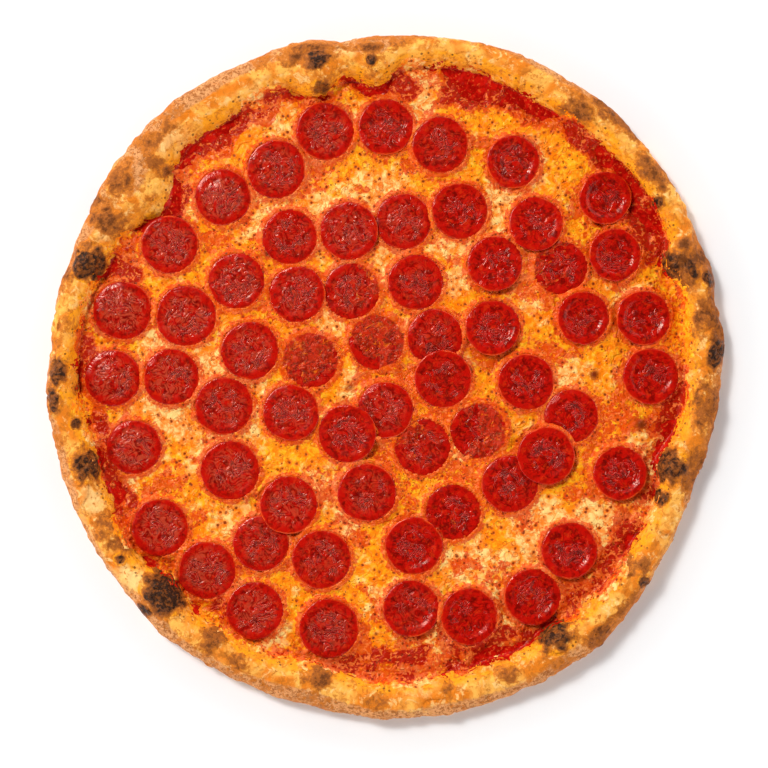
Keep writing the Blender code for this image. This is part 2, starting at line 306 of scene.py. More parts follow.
    def mix(self, share: Any, first: Any, second: Any) -> Any:
        """Returns a colour between two colours."""
        node = self.tree.nodes.new("ShaderNodeMix")
        node.data_type = "RGBA"
        self._feed(node.inputs[0], share)
        self._feed(node.inputs[6], first)
        self._feed(node.inputs[7], second)
        return node.outputs[2]

    def blend(self, share: Any, first: float, second: float) -> Any:
        """Returns a number between two numbers."""
        node = self.tree.nodes.new("ShaderNodeMix")
        self._feed(node.inputs[0], share)
        node.inputs[2].default_value = first
        node.inputs[3].default_value = second
        return node.outputs[0]

    def red_of(self, colour: Any) -> Any:
        """Returns the red part of a colour, which serves as a random number of a cell."""
        node = self.tree.nodes.new("ShaderNodeSeparateColor")
        self._feed(node.inputs[0], colour)
        return node.outputs[0]

    def bump(self, height: Any, depth: float, normal: Any = None) -> Any:
        """Returns the normal of a relief that is depth millimetres high."""
        node = self.tree.nodes.new("ShaderNodeBump")
        node.inputs["Strength"].default_value = 1.0
        node.inputs["Distance"].default_value = depth * MM
        self._feed(node.inputs["Height"], height)
        if normal is not None:
            self._feed(node.inputs["Normal"], normal)
        return node.outputs["Normal"]

    def finish(self, colour: Any, roughness: Any, normal: Any, **settings: float | Colour,
               ) -> bpy.types.Material:
        """Joins the colour, roughness and normal to the shader.

        Args:
            colour: The colour, or the node output that gives it.
            roughness: The roughness, or the node output that gives it.
            normal: The node output that gives the normal.
            settings: Other sockets of the shader, with _ for a space.

        Returns:
            The finished material.
        """
        self._feed(self.shader.inputs["Base Color"], colour)
        self._feed(self.shader.inputs["Roughness"], roughness)
        self._feed(self.shader.inputs["Normal"], normal)
        for name, value in settings.items():
            self._feed(self.shader.inputs[name.replace("_", " ")], value)
        return self.material


@dataclass(frozen=True)
class CrustFinish:
    """Baked dough: cream to golden on top, floury at the side, with toasted and burnt blisters."""

    pale: Colour = (0.98, 0.63, 0.23)
    cream: Colour = (0.97, 0.46, 0.080)
    golden: Colour = (0.79, 0.208, 0.011)
    amber: Colour = (0.58, 0.158, 0.012)
    toast: Colour = (0.34, 0.092, 0.014)
    blister: Colour = (0.135, 0.036, 0.008)
    char: Colour = (0.022, 0.008, 0.005)
    flour: Colour = (0.53, 0.168, 0.042)
    husk: Colour = (0.79, 0.37, 0.145)
    oil: Colour = (0.94, 0.33, 0.008)
    creamy: Patches = Patches(15.0, 3.0, 0.5, 0.8, 0.0, 0.40, 0.64)
    mottle: Patches = Patches(4.6, 4.0, 0.62, 0.7, 0.3, 0.46, 0.70, 0.8)
    flecks: Patches = Patches(6.5, 4.0, 0.65, 0.8, 0.62, 0.53, 0.64, 0.7)
    oily: Patches = Patches(13.0, 2.0, 0.5, 0.5, 0.8, 0.38, 0.55, 0.62)
    slope_spots: Patches = Patches(3.8, 4.0, 0.6, 0.8, 0.15, 0.53, 0.63, 0.75)
    dusting: Patches = Patches(12.0, 3.0, 0.6, 0.6, 0.72, 0.44, 0.60, 0.65)
    flour_grains: Patches = Patches(2.1, 2.0, 0.6, 0.0, 0.95, 0.55, 0.65, 0.6)
    dark_grains: Patches = Patches(2.0, 3.0, 0.7, 0.0, 0.45, 0.49, 0.60, 0.9)
    limb_spots: Patches = Patches(6.0, 4.0, 0.65, 0.5, 0.66, 0.46, 0.62, 0.6)

    def material(self) -> bpy.types.Material:
        """Returns the crust's material, which reads the attributes that Crust stores."""
        paint = Paint("baked_crust")
        grain = paint.noise(1.8, 2.0, 0.55)
        edge = paint.math("SUBTRACT", paint.noise(3.4, 5.0, 0.65, 0.0, 0.7), 0.5)
        colour = paint.mix(paint.patches(self.creamy), self.golden, self.cream)
        colour = paint.mix(paint.patches(self.mottle), colour, self.amber)
        colour = paint.mix(paint.patches(self.flecks), colour, self.pale)
        colour = paint.mix(paint.product(paint.attribute("cream"), 0.8), colour, self.pale)
        colour = self._inner_slope(paint, colour, edge)
        colour = self._outer_side(paint, colour, edge)
        broken = paint.math("SUBTRACT", paint.noise(7.5, 2.0, 0.5, 0.6, 0.37), 0.52)
        toast = paint.math("ADD", paint.attribute("toast"), paint.product(edge, 1.7))
        toast = paint.math("ADD", toast, paint.product(broken, 1.3))
        grit = paint.math("SUBTRACT", paint.noise(1.7, 3.0, 0.7, 0.3, 0.83), 0.5)
        toast = paint.math("ADD", toast, paint.product(grit, 1.1))
        colour = paint.mix(paint.rise(toast, 0.12, 0.42, 0.88), colour, self.amber)
        colour = paint.mix(paint.rise(toast, 0.48, 0.78, 0.92), colour, self.toast)
        colour = paint.mix(paint.rise(toast, 0.90, 1.16, 0.85), colour, self.blister)
        colour = self._blisters(paint, colour, edge)
        relief = paint.bump(grain, 0.36)
        knobs = paint.product(paint.noise(2.8, 2.0, 0.6, 0.5, 0.25), paint.attribute("char"))
        relief = paint.bump(knobs, 1.5, relief)
        relief = paint.bump(paint.product(paint.noise(2.4, 2.0, 0.6, 0.6, 0.9), paint.attribute("toast")),
                            0.8, relief)
        relief = paint.bump(paint.noise(4.2, 3.0, 0.6, 0.5, 0.6), 1.3, relief)
        wet = paint.math("MAXIMUM", paint.attribute("oil"), paint.rise(paint.attribute("char"), 0.3, 0.8))
        return paint.finish(colour, paint.blend(wet, 0.62, 0.30), relief, Specular_IOR_Level=0.14,
                            Specular_Tint=(1.0, 0.80, 0.60))

    def _inner_slope(self, paint: Paint, colour: Any, edge: Any) -> Any:
        """Lays oil and specks of the topping on the slope that faces the cheese."""
        oil = paint.math("ADD", paint.attribute("oil"), edge)
        patches = paint.math("ADD", paint.patches(self.oily), 0.35)
        colour = paint.mix(paint.product(paint.rise(oil, 0.15, 0.75), patches), colour, self.oil)
        spots = paint.product(paint.patches(self.slope_spots), paint.rise(oil, 0.3, 0.7))
        colour = paint.mix(spots, colour, self.amber)
        specks = paint.specks(3.4, 0.28, 0.35, 0.85)
        return paint.mix(paint.product(specks, paint.rise(oil, 0.1, 0.5)), colour, self.blister)

    def _outer_side(self, paint: Paint, colour: Any, edge: Any) -> Any:
        """Lays flour and dark grains on the side that faces outwards."""
        side = paint.rise(paint.math("ADD", paint.attribute("flour"), edge), 0.25, 0.75)
        colour = paint.mix(paint.product(side, 0.8), colour, self.flour)
        raw = paint.rise(paint.attribute("toast"), 0.42, 0.12, 0.72)
        dusted = paint.math("MAXIMUM", paint.patches(self.dusting), raw)
        colour = paint.mix(paint.product(side, dusted), colour, self.husk)
        colour = paint.mix(paint.product(side, paint.patches(self.flour_grains)), colour, self.husk)
        colour = paint.mix(paint.product(side, paint.patches(self.dark_grains)), colour, self.toast)
        fold = paint.math("ABSOLUTE", paint.math("SUBTRACT", paint.noise(7.0, 3.0, 0.6, 0.8, 0.55), 0.5))
        lines = paint.product(side, paint.rise(fold, 0.030, 0.004, 0.6))
        colour = paint.mix(lines, colour, self.toast)
        limb = paint.product(paint.rise(paint.attribute("flour"), 0.70, 1.0),
                             paint.patches(self.limb_spots))
        return paint.mix(limb, colour, self.toast)

    def _blisters(self, paint: Paint, colour: Any, edge: Any) -> Any:
        """Browns the burnt blisters, with black in their dents and where they are burnt most."""
        char = paint.attribute("char")
        base = paint.math("ADD", char, paint.product(edge, 0.5))
        colour = paint.mix(paint.rise(base, 0.16, 0.60, 0.95), colour, self.blister)
        dents = paint.math("ADD", paint.noise(2.8, 2.0, 0.6, 0.5, 0.25), paint.product(char, 0.16))
        colour = paint.mix(paint.product(paint.rise(dents, 0.60, 0.46, 0.75), paint.rise(base, 0.3, 0.6)),
                           colour, self.toast)
        black = paint.product(paint.rise(dents, 0.60, 0.72, 0.92), paint.rise(base, 0.35, 0.65))
        return paint.mix(black, colour, self.char)


@dataclass(frozen=True)
class SauceFinish:
    """Tomato sauce: deep red and wet, with paler pulp."""

    deep: Colour = (0.34, 0.003, 0.001)
    bright: Colour = (0.58, 0.008, 0.003)
    pulp: Colour = (0.76, 0.10, 0.020)
    mottle: Patches = Patches(4.0, 4.0, 0.6, 0.5, 0.0, 0.40, 0.60)
    bits: Patches = Patches(2.2, 3.0, 0.6, 0.4, 0.4, 0.57, 0.66, 0.8)

    def material(self) -> bpy.types.Material:
        """Returns the sauce's material."""
        paint = Paint("tomato_sauce")
        colour = paint.mix(paint.patches(self.mottle), self.deep, self.bright)
        colour = paint.mix(paint.patches(self.bits), colour, self.pulp)
        relief = paint.bump(paint.noise(2.4, 1.0, 0.5), 0.35)
        return paint.finish(colour, 0.22, relief, Specular_IOR_Level=0.2,
                            Specular_Tint=(1.0, 0.62, 0.50))


@dataclass(frozen=True)
class CheeseFinish:
    """Melted cheese: yellow and orange with oil, with paler curds whose paleness is partly a painted
    highlight, red stains and brown specks.
    """

    yellow: Colour = (0.99, 0.44, 0.012)
    orange: Colour = (0.97, 0.190, 0.003)
    cream: Colour = (0.99, 0.66, 0.22)
    rust: Colour = (0.52, 0.070, 0.006)
    speck: Colour = (0.21, 0.026, 0.003)
    stain: Colour = (0.68, 0.042, 0.003)
    sauce: Colour = (0.42, 0.006, 0.002)
    pink: Colour = (0.90, 0.19, 0.035)
    slice: Colour = (0.50, 0.018, 0.005)
    slice_deep: Colour = (0.24, 0.005, 0.002)
    oily: Patches = Patches(15.0, 3.0, 0.55, 0.6, 0.0, 0.42, 0.68, 0.6)
    satin: Patches = Patches(6.0, 2.0, 0.5, 0.0, 0.0, 0.35, 0.65)
    bits: Patches = Patches(2.8, 2.0, 0.6, 0.6, 0.85, 0.54, 0.62, 0.8)
    flecks: Patches = Patches(4.5, 3.0, 0.6, 0.9, 0.93, 0.58, 0.68, 0.55)

    def material(self) -> bpy.types.Material:
        """Returns the cheese's material, which reads the attributes that Cheese stores."""
        paint = Paint("melted_cheese")
        curd = paint.attribute("curd")
        fine = paint.math("SUBTRACT", paint.noise(2.8, 3.0, 0.6, 0.5), 0.5)
        colour = paint.mix(paint.patches(self.oily), self.yellow, self.orange)
        pale = paint.math("ADD", paint.attribute("pale"), fine)
        colour = paint.mix(paint.rise(pale, 0.26, 0.76, 0.95), colour, self.cream)
        mottle = paint.math("SUBTRACT", paint.noise(4.4, 4.0, 0.62, 0.9, 0.2), paint.product(curd, 0.20))
        colour = paint.mix(paint.rise(mottle, 0.38, 0.54, 0.8), colour, self.orange)
        fold = paint.math("ABSOLUTE", paint.math("SUBTRACT", paint.noise(9.0, 2.5, 0.55, 0.9, 0.77), 0.5))
        colour = paint.mix(paint.rise(fold, 0.060, 0.004, 0.5), colour, self.orange)
        # Cream on the flat tops between the crease lines: partly paler cheese, partly a painted highlight.
        pale_tops_and_sheen = paint.product(paint.rise(fold, 0.10, 0.20, 0.62), paint.rise(pale, 0.15, 0.60))
        colour = paint.mix(pale_tops_and_sheen, colour, self.cream)
        colour = paint.mix(self._rings(paint, 7.0, 0.1), colour, self.orange)
        colour = paint.mix(paint.product(self._rings(paint, 5.0, 0.35), 0.8), colour, self.rust)
        colour = paint.mix(paint.specks(4.2, 0.62, 0.25, 0.6), colour, self.orange)
        colour = paint.mix(paint.specks(4.2, 0.34, 0.25, 0.65), colour, self.rust)
        colour = self._stains(paint, colour, fine)
        colour = paint.mix(paint.specks(4.2, 0.20, 0.25, 0.95), colour, self.speck)
        colour = paint.mix(paint.specks(2.9, 0.22, 0.47, 0.85, 0.6), colour, self.speck)
        colour = paint.mix(paint.attribute("burn"), colour, self.speck)
        relief = paint.bump(paint.noise(2.8, 1.5, 0.55, 0.5, 0.4), 0.55)
        relief = paint.bump(paint.rise(fold, 0.0, 0.12), 0.40, relief)
        relief = paint.bump(paint.product(paint.specks(4.2, 0.30, 0.25, 1.0), -1.0), 0.30, relief)
        roughness = paint.blend(paint.patches(self.satin), 0.20, 0.38)
        return paint.finish(colour, roughness, relief, Specular_IOR_Level=0.22,
                            Specular_Tint=(1.0, 0.72, 0.45))

    def _stains(self, paint: Paint, colour: Any, fine: Any) -> Any:
        """Lays oil, sauce and the sunk slices' colour on the cheese."""
        red = paint.math("ADD", paint.attribute("red"), paint.product(fine, 1.3))
        colour = paint.mix(paint.rise(red, 0.36, 0.56, 0.85), colour, self.stain)
        # Deep sauce colour where red is strongest: real sauce, and also the painted shadow under the rim's
        # fold.
        colour = paint.mix(paint.rise(red, 0.80, 0.98, 0.92), colour, self.sauce)
        bits = paint.product(paint.patches(self.bits), paint.rise(red, 0.4, 0.6))
        colour = paint.mix(bits, colour, self.pink)
        grain = paint.noise(3.6, 2.0, 0.6, 0.9, 0.33)
        veil = paint.math("ADD", paint.attribute("veil"), paint.math("SUBTRACT", grain, 0.5))
        seen = paint.mix(paint.rise(grain, 0.40, 0.56), self.slice_deep, self.slice)
        colour = paint.mix(paint.rise(veil, 0.26, 0.60, 0.95), colour, seen)
        flecks = paint.product(paint.patches(self.flecks), paint.rise(paint.attribute("veil"), 0.0, 0.3))
        return paint.mix(flecks, colour, self.orange)

    @staticmethod
    def _rings(paint: Paint, size: float, shift: float) -> Any:
        """Returns where burst bubbles left thin browned rings, uneven in size and outline."""
        apart, tone = paint.cells(size, shift, 0.9, 1.3)
        scale = paint.math("ADD", paint.product(paint.red_of(tone), 0.8), 0.25)
        apart = paint.math("DIVIDE", apart, scale)
        inner = paint.rise(apart, 0.22, 0.31)
        outer = paint.math("SUBTRACT", 1.0, paint.rise(apart, 0.34, 0.46))
        return paint.product(inner, outer, paint.rise(paint.red_of(tone), 0.50, 0.56, 0.75))


@dataclass(frozen=True)
class PepperoniFinish:
    """Cooked sausage: dark red and oily, with a dull bloom that is partly a painted sheen, painted shade in
    the wrinkles' grooves, pale fat and a brighter edge.
    """

    body: Colour = (0.50, 0.005, 0.002)
    deep: Colour = (0.17, 0.002, 0.001)
    ember: Colour = (0.62, 0.032, 0.004)
    # Pinkish dull colour: partly the meat's own bloom, partly a painted sheen that is stronger on slices to
    # the left.
    bloom: Colour = (0.48, 0.054, 0.022)
    band: Colour = (0.46, 0.006, 0.002)
    edge: Colour = (0.74, 0.062, 0.004)
    meat: Patches = Patches(3.6, 3.0, 0.62, 0.6, 0.0, 0.34, 0.58)
    embers: Patches = Patches(2.9, 2.0, 0.62, 0.6, 0.6, 0.54, 0.66, 0.55)
    uneven: Patches = Patches(8.0, 2.0, 0.5, 0.0, 0.2, 0.42, 0.62, 0.9)
    wrinkled: Patches = Patches(10.0, 0.0, 0.5, 0.0, 0.8, 0.36, 0.50)
    dull: Patches = Patches(5.0, 1.0, 0.5, 0.0, 0.4, 0.35, 0.65)

    def material(self) -> bpy.types.Material:
        """Returns the slices' material, which reads the attributes that Slices stores."""
        paint = Paint("pepperoni")
        sway = paint.product(paint.math("SUBTRACT", paint.noise(6.0, 2.0, 0.5, 0.0, 0.7), 0.5), 0.42)
        share = paint.math("ADD", paint.attribute("share"), sway)
        inner = paint.math("SUBTRACT", 1.0, paint.rise(share, 0.62, 0.88))
        colour = paint.mix(paint.patches(self.meat), self.deep, self.body)
        colour = paint.mix(paint.patches(self.embers), colour, self.ember)
        loops = paint.math("SINE", paint.product(paint.noise(6.5, 0.0, 0.4, 0.6, 0.3), 46.0))
        grain = paint.math("ADD", paint.noise(2.6, 2.0, 0.6, 0.5), paint.product(loops, 0.07))
        # Dull pinkish middle: partly the meat's own bloom, partly a painted sheen, stronger on slices to
        # the left.
        bloom = paint.product(inner, paint.attribute("bloom"), paint.rise(grain, 0.38, 0.64, 0.9))
        colour = paint.mix(bloom, colour, self.bloom)
        # Painted shade: deep red laid in the troughs of the wrinkle loops, where the bump sinks.
        groove_shade = paint.product(paint.rise(loops, -0.35, -0.95, 0.6), inner)
        colour = paint.mix(groove_shade, colour, self.deep)
        colour = paint.mix(paint.rise(share, 0.74, 0.94, 0.50), colour, self.band)
        edge = paint.product(paint.rise(paint.attribute("share"), 0.92, 0.995), paint.patches(self.uneven))
        colour = paint.mix(edge, colour, self.edge)
        wet = paint.product(paint.math("SUBTRACT", 1.0, paint.attribute("bloom")), 0.10)
        calm = paint.math("SUBTRACT", 1.0, paint.rise(paint.math("ADD", share, wet), 0.56, 0.76, 0.85))
        relief = paint.bump(paint.product(loops, calm, paint.patches(self.wrinkled)), 0.22)
        relief = paint.bump(paint.product(paint.noise(2.2, 0.5, 0.5, 0.5, 0.15), calm), 0.36, relief)
        roughness = paint.blend(paint.patches(self.dull), 0.13, 0.27)
        return paint.finish(colour, roughness, relief, Specular_IOR_Level=0.29,
                            Specular_Tint=(1.0, 0.70, 0.58))


CUPPED = (5, 7, 9, 24, 25, 26, 38, 41, 52, 54, 55, 56, 57)     # slices whose lip stands high
DOMED = (6, 17, 27, 42)                                        # slices that bulge in the middle
DEEP_CUP = 1.16
SHALLOW_CUP = 0.50
BULGE = 0.7
LIP_SHARES = (0.56, 0.82)              # shares of a slice's radius between which its lip rises
BULGE_SHARE = 0.75                     # share of the radius at which a bulge ends
RAY_START = 60.0                       # height that rays look down from, over everything


class Surface:
    """A mesh's surface, for measuring along rays, in millimetres."""

    def __init__(self, piece: bpy.types.Object) -> None:
        """Reads the piece's mesh.

        Args:
            piece: The CAD node or finished piece, which stays as it is.
        """
        self.points = np.array([tuple(vertex.co) for vertex in piece.data.vertices]) / MM
        faces = [tuple(polygon.vertices) for polygon in piece.data.polygons]
        self.tree = BVHTree.FromPolygons([tuple(point) for point in self.points], faces)

    def reach(self, start: Vector, heading: Vector) -> float | None:
        """Returns the distance from a start to the surface along a heading, if it is met."""
        return self.tree.ray_cast(start, heading)[3]

    def height(self, x: float, y: float) -> float | None:
        """Returns the surface's height over a point of the ground, if it is met."""
        drop = self.reach(Vector((x, y, RAY_START)), Vector((0.0, 0.0, -1.0)))
        return None if drop is None else RAY_START - drop


@dataclass
class Slice:
    """Where one slice of sausage lies, read from its CAD node."""

    name: str
    x: float
    y: float
    radius: float
    middle: float              # height of the half thickness over the centre
    slope_x: float = 0.0
    slope_y: float = 0.0
    dish: float = 0.0
    thickness: float = 1.7
    cup: float = 0.45          # how far the lip stands above the floor of the slice
    dome: float = 0.0

    @classmethod
    def from_node(cls, node: bpy.types.Object) -> "Slice":
        """Fits a dished disc to a CAD node.

        Args:
            node: The CAD node of the slice.

        Returns:
            The slice's place, size, tilt and dish.
        """
        points = np.unique(np.round(Surface(node).points, 4), axis=0)
        x, y = 0.5 * (points[:, :2].max(axis=0) + points[:, :2].min(axis=0))
        local = points[:, :2] - (x, y)
        apart = np.hypot(*local.T)
        radius = float(np.sort(apart)[-16:].mean())
        terms = np.column_stack([np.ones(len(local)), local, (apart / radius) ** 2])
        fit, *_ = np.linalg.lstsq(terms, points[:, 2], rcond=None)
        spare = points[:, 2] - terms @ fit
        thickness = float(np.percentile(spare, 90) - np.percentile(spare, 10))
        number = int(node.name.split("_")[-1])
        cup = DEEP_CUP if number in CUPPED else SHALLOW_CUP
        dome = BULGE if number in DOMED else 0.0
        return cls(node.name, float(x), float(y), radius, *(float(part) for part in fit), thickness,
                   cup, dome)

    def level(self, x: np.ndarray, y: np.ndarray) -> np.ndarray:
        """Returns the height of the slice's middle surface over points of the ground."""
        plane = self.middle + self.slope_x * (x - self.x) + self.slope_y * (y - self.y)
        share = np.minimum(np.hypot(x - self.x, y - self.y) / self.radius, 1.2)
        return (plane + self.dish * share ** 2 + self.cup * (smooth_step(share, *LIP_SHARES) - 0.5)
                + self.dome * (1.0 - smooth_step(share, 0.0, BULGE_SHARE)))


class Cover(Enum):
    """How the cheese veils a slice: from which side in degrees, and how far over it."""

    SLICE_16 = (140.0, 0.42)
    SLICE_21 = (20.0, 0.38)
    SLICE_35 = (150.0, 0.30)
    SLICE_53 = (215.0, 0.30)
    HIDDEN_1 = (110.0, 0.72)
    HIDDEN_2 = (60.0, 0.78)
    HIDDEN_3 = (15.0, 0.66)


@dataclass
class Layout:
    """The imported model's shapes and the places of the slices."""

    frame: dict[str, Any]
    hidden_places: tuple[tuple[float, float], ...] = ((-44.5, 10.2), (-4.8, 21.1), (55.9, -32.2))
    hidden_radius: float = 17.2
    slices: list[Slice] = field(default_factory=list)
    hidden: list[Slice] = field(default_factory=list)

    def __post_init__(self) -> None:
        """Reads the CAD nodes."""
        nodes = self.frame["nodes"]
        self.crust = Surface(nodes["crust"])
        self.cheese = Surface(nodes["cheese"])
        self.slices = [Slice.from_node(nodes[name]) for name in sorted(nodes)
                       if name.startswith("pepperoni")]
        for number, (x, y) in enumerate(self.hidden_places, 1):
            height = self.cheese.height(x, y)
            self.hidden.append(Slice("covered_slice_%d" % number, x, y, self.hidden_radius,
                                     height - 0.2, thickness=1.4))

    def covers(self) -> list[tuple[Slice, Cover]]:
        """Returns the slices that cheese partly veils, each with how it does."""
        known = {"pepperoni_16": Cover.SLICE_16, "pepperoni_21": Cover.SLICE_21,
                 "pepperoni_35": Cover.SLICE_35, "pepperoni_53": Cover.SLICE_53,
                 "covered_slice_1": Cover.HIDDEN_1, "covered_slice_2": Cover.HIDDEN_2,
                 "covered_slice_3": Cover.HIDDEN_3}
        return [(piece, known[piece.name]) for piece in self.slices + self.hidden
                if piece.name in known]

    def edge(self, shape: Surface, height: float, angles: np.ndarray) -> np.ndarray:
        """Returns the radius at which rays from the axis meet a shape.

        Args:
            shape: The CAD shape.
            height: The height of the rays.
            angles: Their angles in degrees.

        Returns:
            One radius for each angle.
        """
        start = Vector((0.0, 0.0, height))
        return np.array([shape.reach(start, Vector((math.cos(turn), math.sin(turn), 0.0)))
                         for turn in np.radians(angles)])


def smooth_ring(values: np.ndarray, sigma: float, axis: int = 0, closed: bool = True) -> np.ndarray:
    """Returns values smoothed along one axis by a bell curve.

    Args:
        values: The values, evenly spaced.
        sigma: The bell's width in steps.
        axis: The axis to smooth along.
        closed: Whether the axis runs round into itself.

    Returns:
        The smoothed values.
    """
    reach = int(math.ceil(3.0 * sigma))
    offsets = range(-reach, reach + 1)
    weights = [math.exp(-0.5 * (offset / sigma) ** 2) for offset in offsets]
    total = np.zeros_like(values, dtype=float)
    count = values.shape[axis]
    steps = np.arange(count)
    for offset, weight in zip(offsets, weights):
        index = (steps + offset) % count if closed else np.clip(steps + offset, 0, count - 1)
        total += weight * np.take(values, index, axis=axis)
    return total / sum(weights)


def add_piece(name: str, points: np.ndarray, faces: np.ndarray | list, material: bpy.types.Material,
              replaced: tuple[str, ...], attributes: dict[str, np.ndarray],
              ) -> bpy.types.Object:
    """Adds one finished mesh piece of the pizza.

    Args:
        name: The piece's name.
        points: Its vertices, in millimetres.
        faces: Its faces, as rows of vertex numbers.
        material: Its material.
        replaced: The CAD nodes that it stands for.
        attributes: One number for each vertex, by name.

    Returns:
        The new object.
    """
    mesh = bpy.data.meshes.new(name)
    mesh.from_pydata((points * MM).tolist(), [], faces.tolist() if hasattr(faces, "tolist") else faces)
    mesh.shade_smooth()
    for key, values in attributes.items():
        mesh.attributes.new(key, "FLOAT", "POINT").data.foreach_set("value", values.astype(np.float32))
    mesh.materials.append(material)
    piece = bpy.data.objects.new(name, mesh)
    bpy.context.scene.collection.objects.link(piece)
    dress(piece, replaced)
    return piece


def dress(piece: bpy.types.Object, replaced: tuple[str, ...]) -> None:
    """Ties a piece to the pizza's body and the CAD nodes it stands for."""
    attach(piece, BODY)
    if replaced:
        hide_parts(*replaced)
    LOG.info("%s: %d faces", piece.name, len(piece.data.polygons))


def ring_faces(rings: int, around: int) -> np.ndarray:
    """Returns the quads of a mesh of closed rings, each of so many points, from inside out."""
    ring, step = np.meshgrid(np.arange(rings - 1), np.arange(around), indexing="ij")
    following = (step + 1) % around
    quads = np.stack([ring * around + step, (ring + 1) * around + step,
                      (ring + 1) * around + following, ring * around + following], axis=-1)
    return quads.reshape(-1, 4)


def close_rings(points: np.ndarray, top: float, bottom: float) -> tuple[np.ndarray, list[list[int]]]:
    """Closes rings of points into a solid, with one point in the middle of each end.

    Args:
        points: The rings, from the middle of the top outwards and round to the underside.
        top: The height of the middle of the top.
        bottom: The height of the middle of the underside.

    Returns:
        The vertices and the faces.
    """
    rings, around = points.shape[:2]
    faces = ring_faces(rings, around).tolist()
    flat = np.concatenate([points.reshape(-1, 3), [(0.0, 0.0, top), (0.0, 0.0, bottom)]])
    above, below, last = len(flat) - 2, len(flat) - 1, (rings - 1) * around
    for step in range(around):
        following = (step + 1) % around
        faces.append([above, step, following])
        faces.append([below, last + following, last + step])
    return flat, faces


RIM_SHIFT = 1.0125                     # how far the rim's height moves its spots outwards in the photo


class Tone(Enum):
    """What the oven did to a spot of the rim."""

    CHAR = "char"
    TOAST = "toast"
    CREAM = "cream"


@dataclass(frozen=True)
class Mark:
    """A baked spot of the rim: its place, half width round the rim, half depth across it, tone."""

    angle: float
    radius: float
    wide: float
    deep: float
    tone: Tone
    strength: float = 1.0
    lift: float = 0.0

    def apart(self, angles: np.ndarray, radii: np.ndarray) -> np.ndarray:
        """Returns how far points lie from the spot's middle, 1 at its edge."""
        along = np.radians(turn_between(angles, self.angle)) * self.radius / self.wide
        return np.hypot(along, (radii - self.radius / RIM_SHIFT) / self.deep)

    def mask(self, apart: np.ndarray, ragged: np.ndarray, grow: float = 0.0) -> np.ndarray:
        """Returns how strongly the spot shows, from 0 to its strength, with a ragged edge."""
        soft = 0.30 if self.tone is Tone.CHAR else 0.55
        return self.strength * smooth_step(1.0 + grow - apart + 0.42 * ragged, -soft, soft)


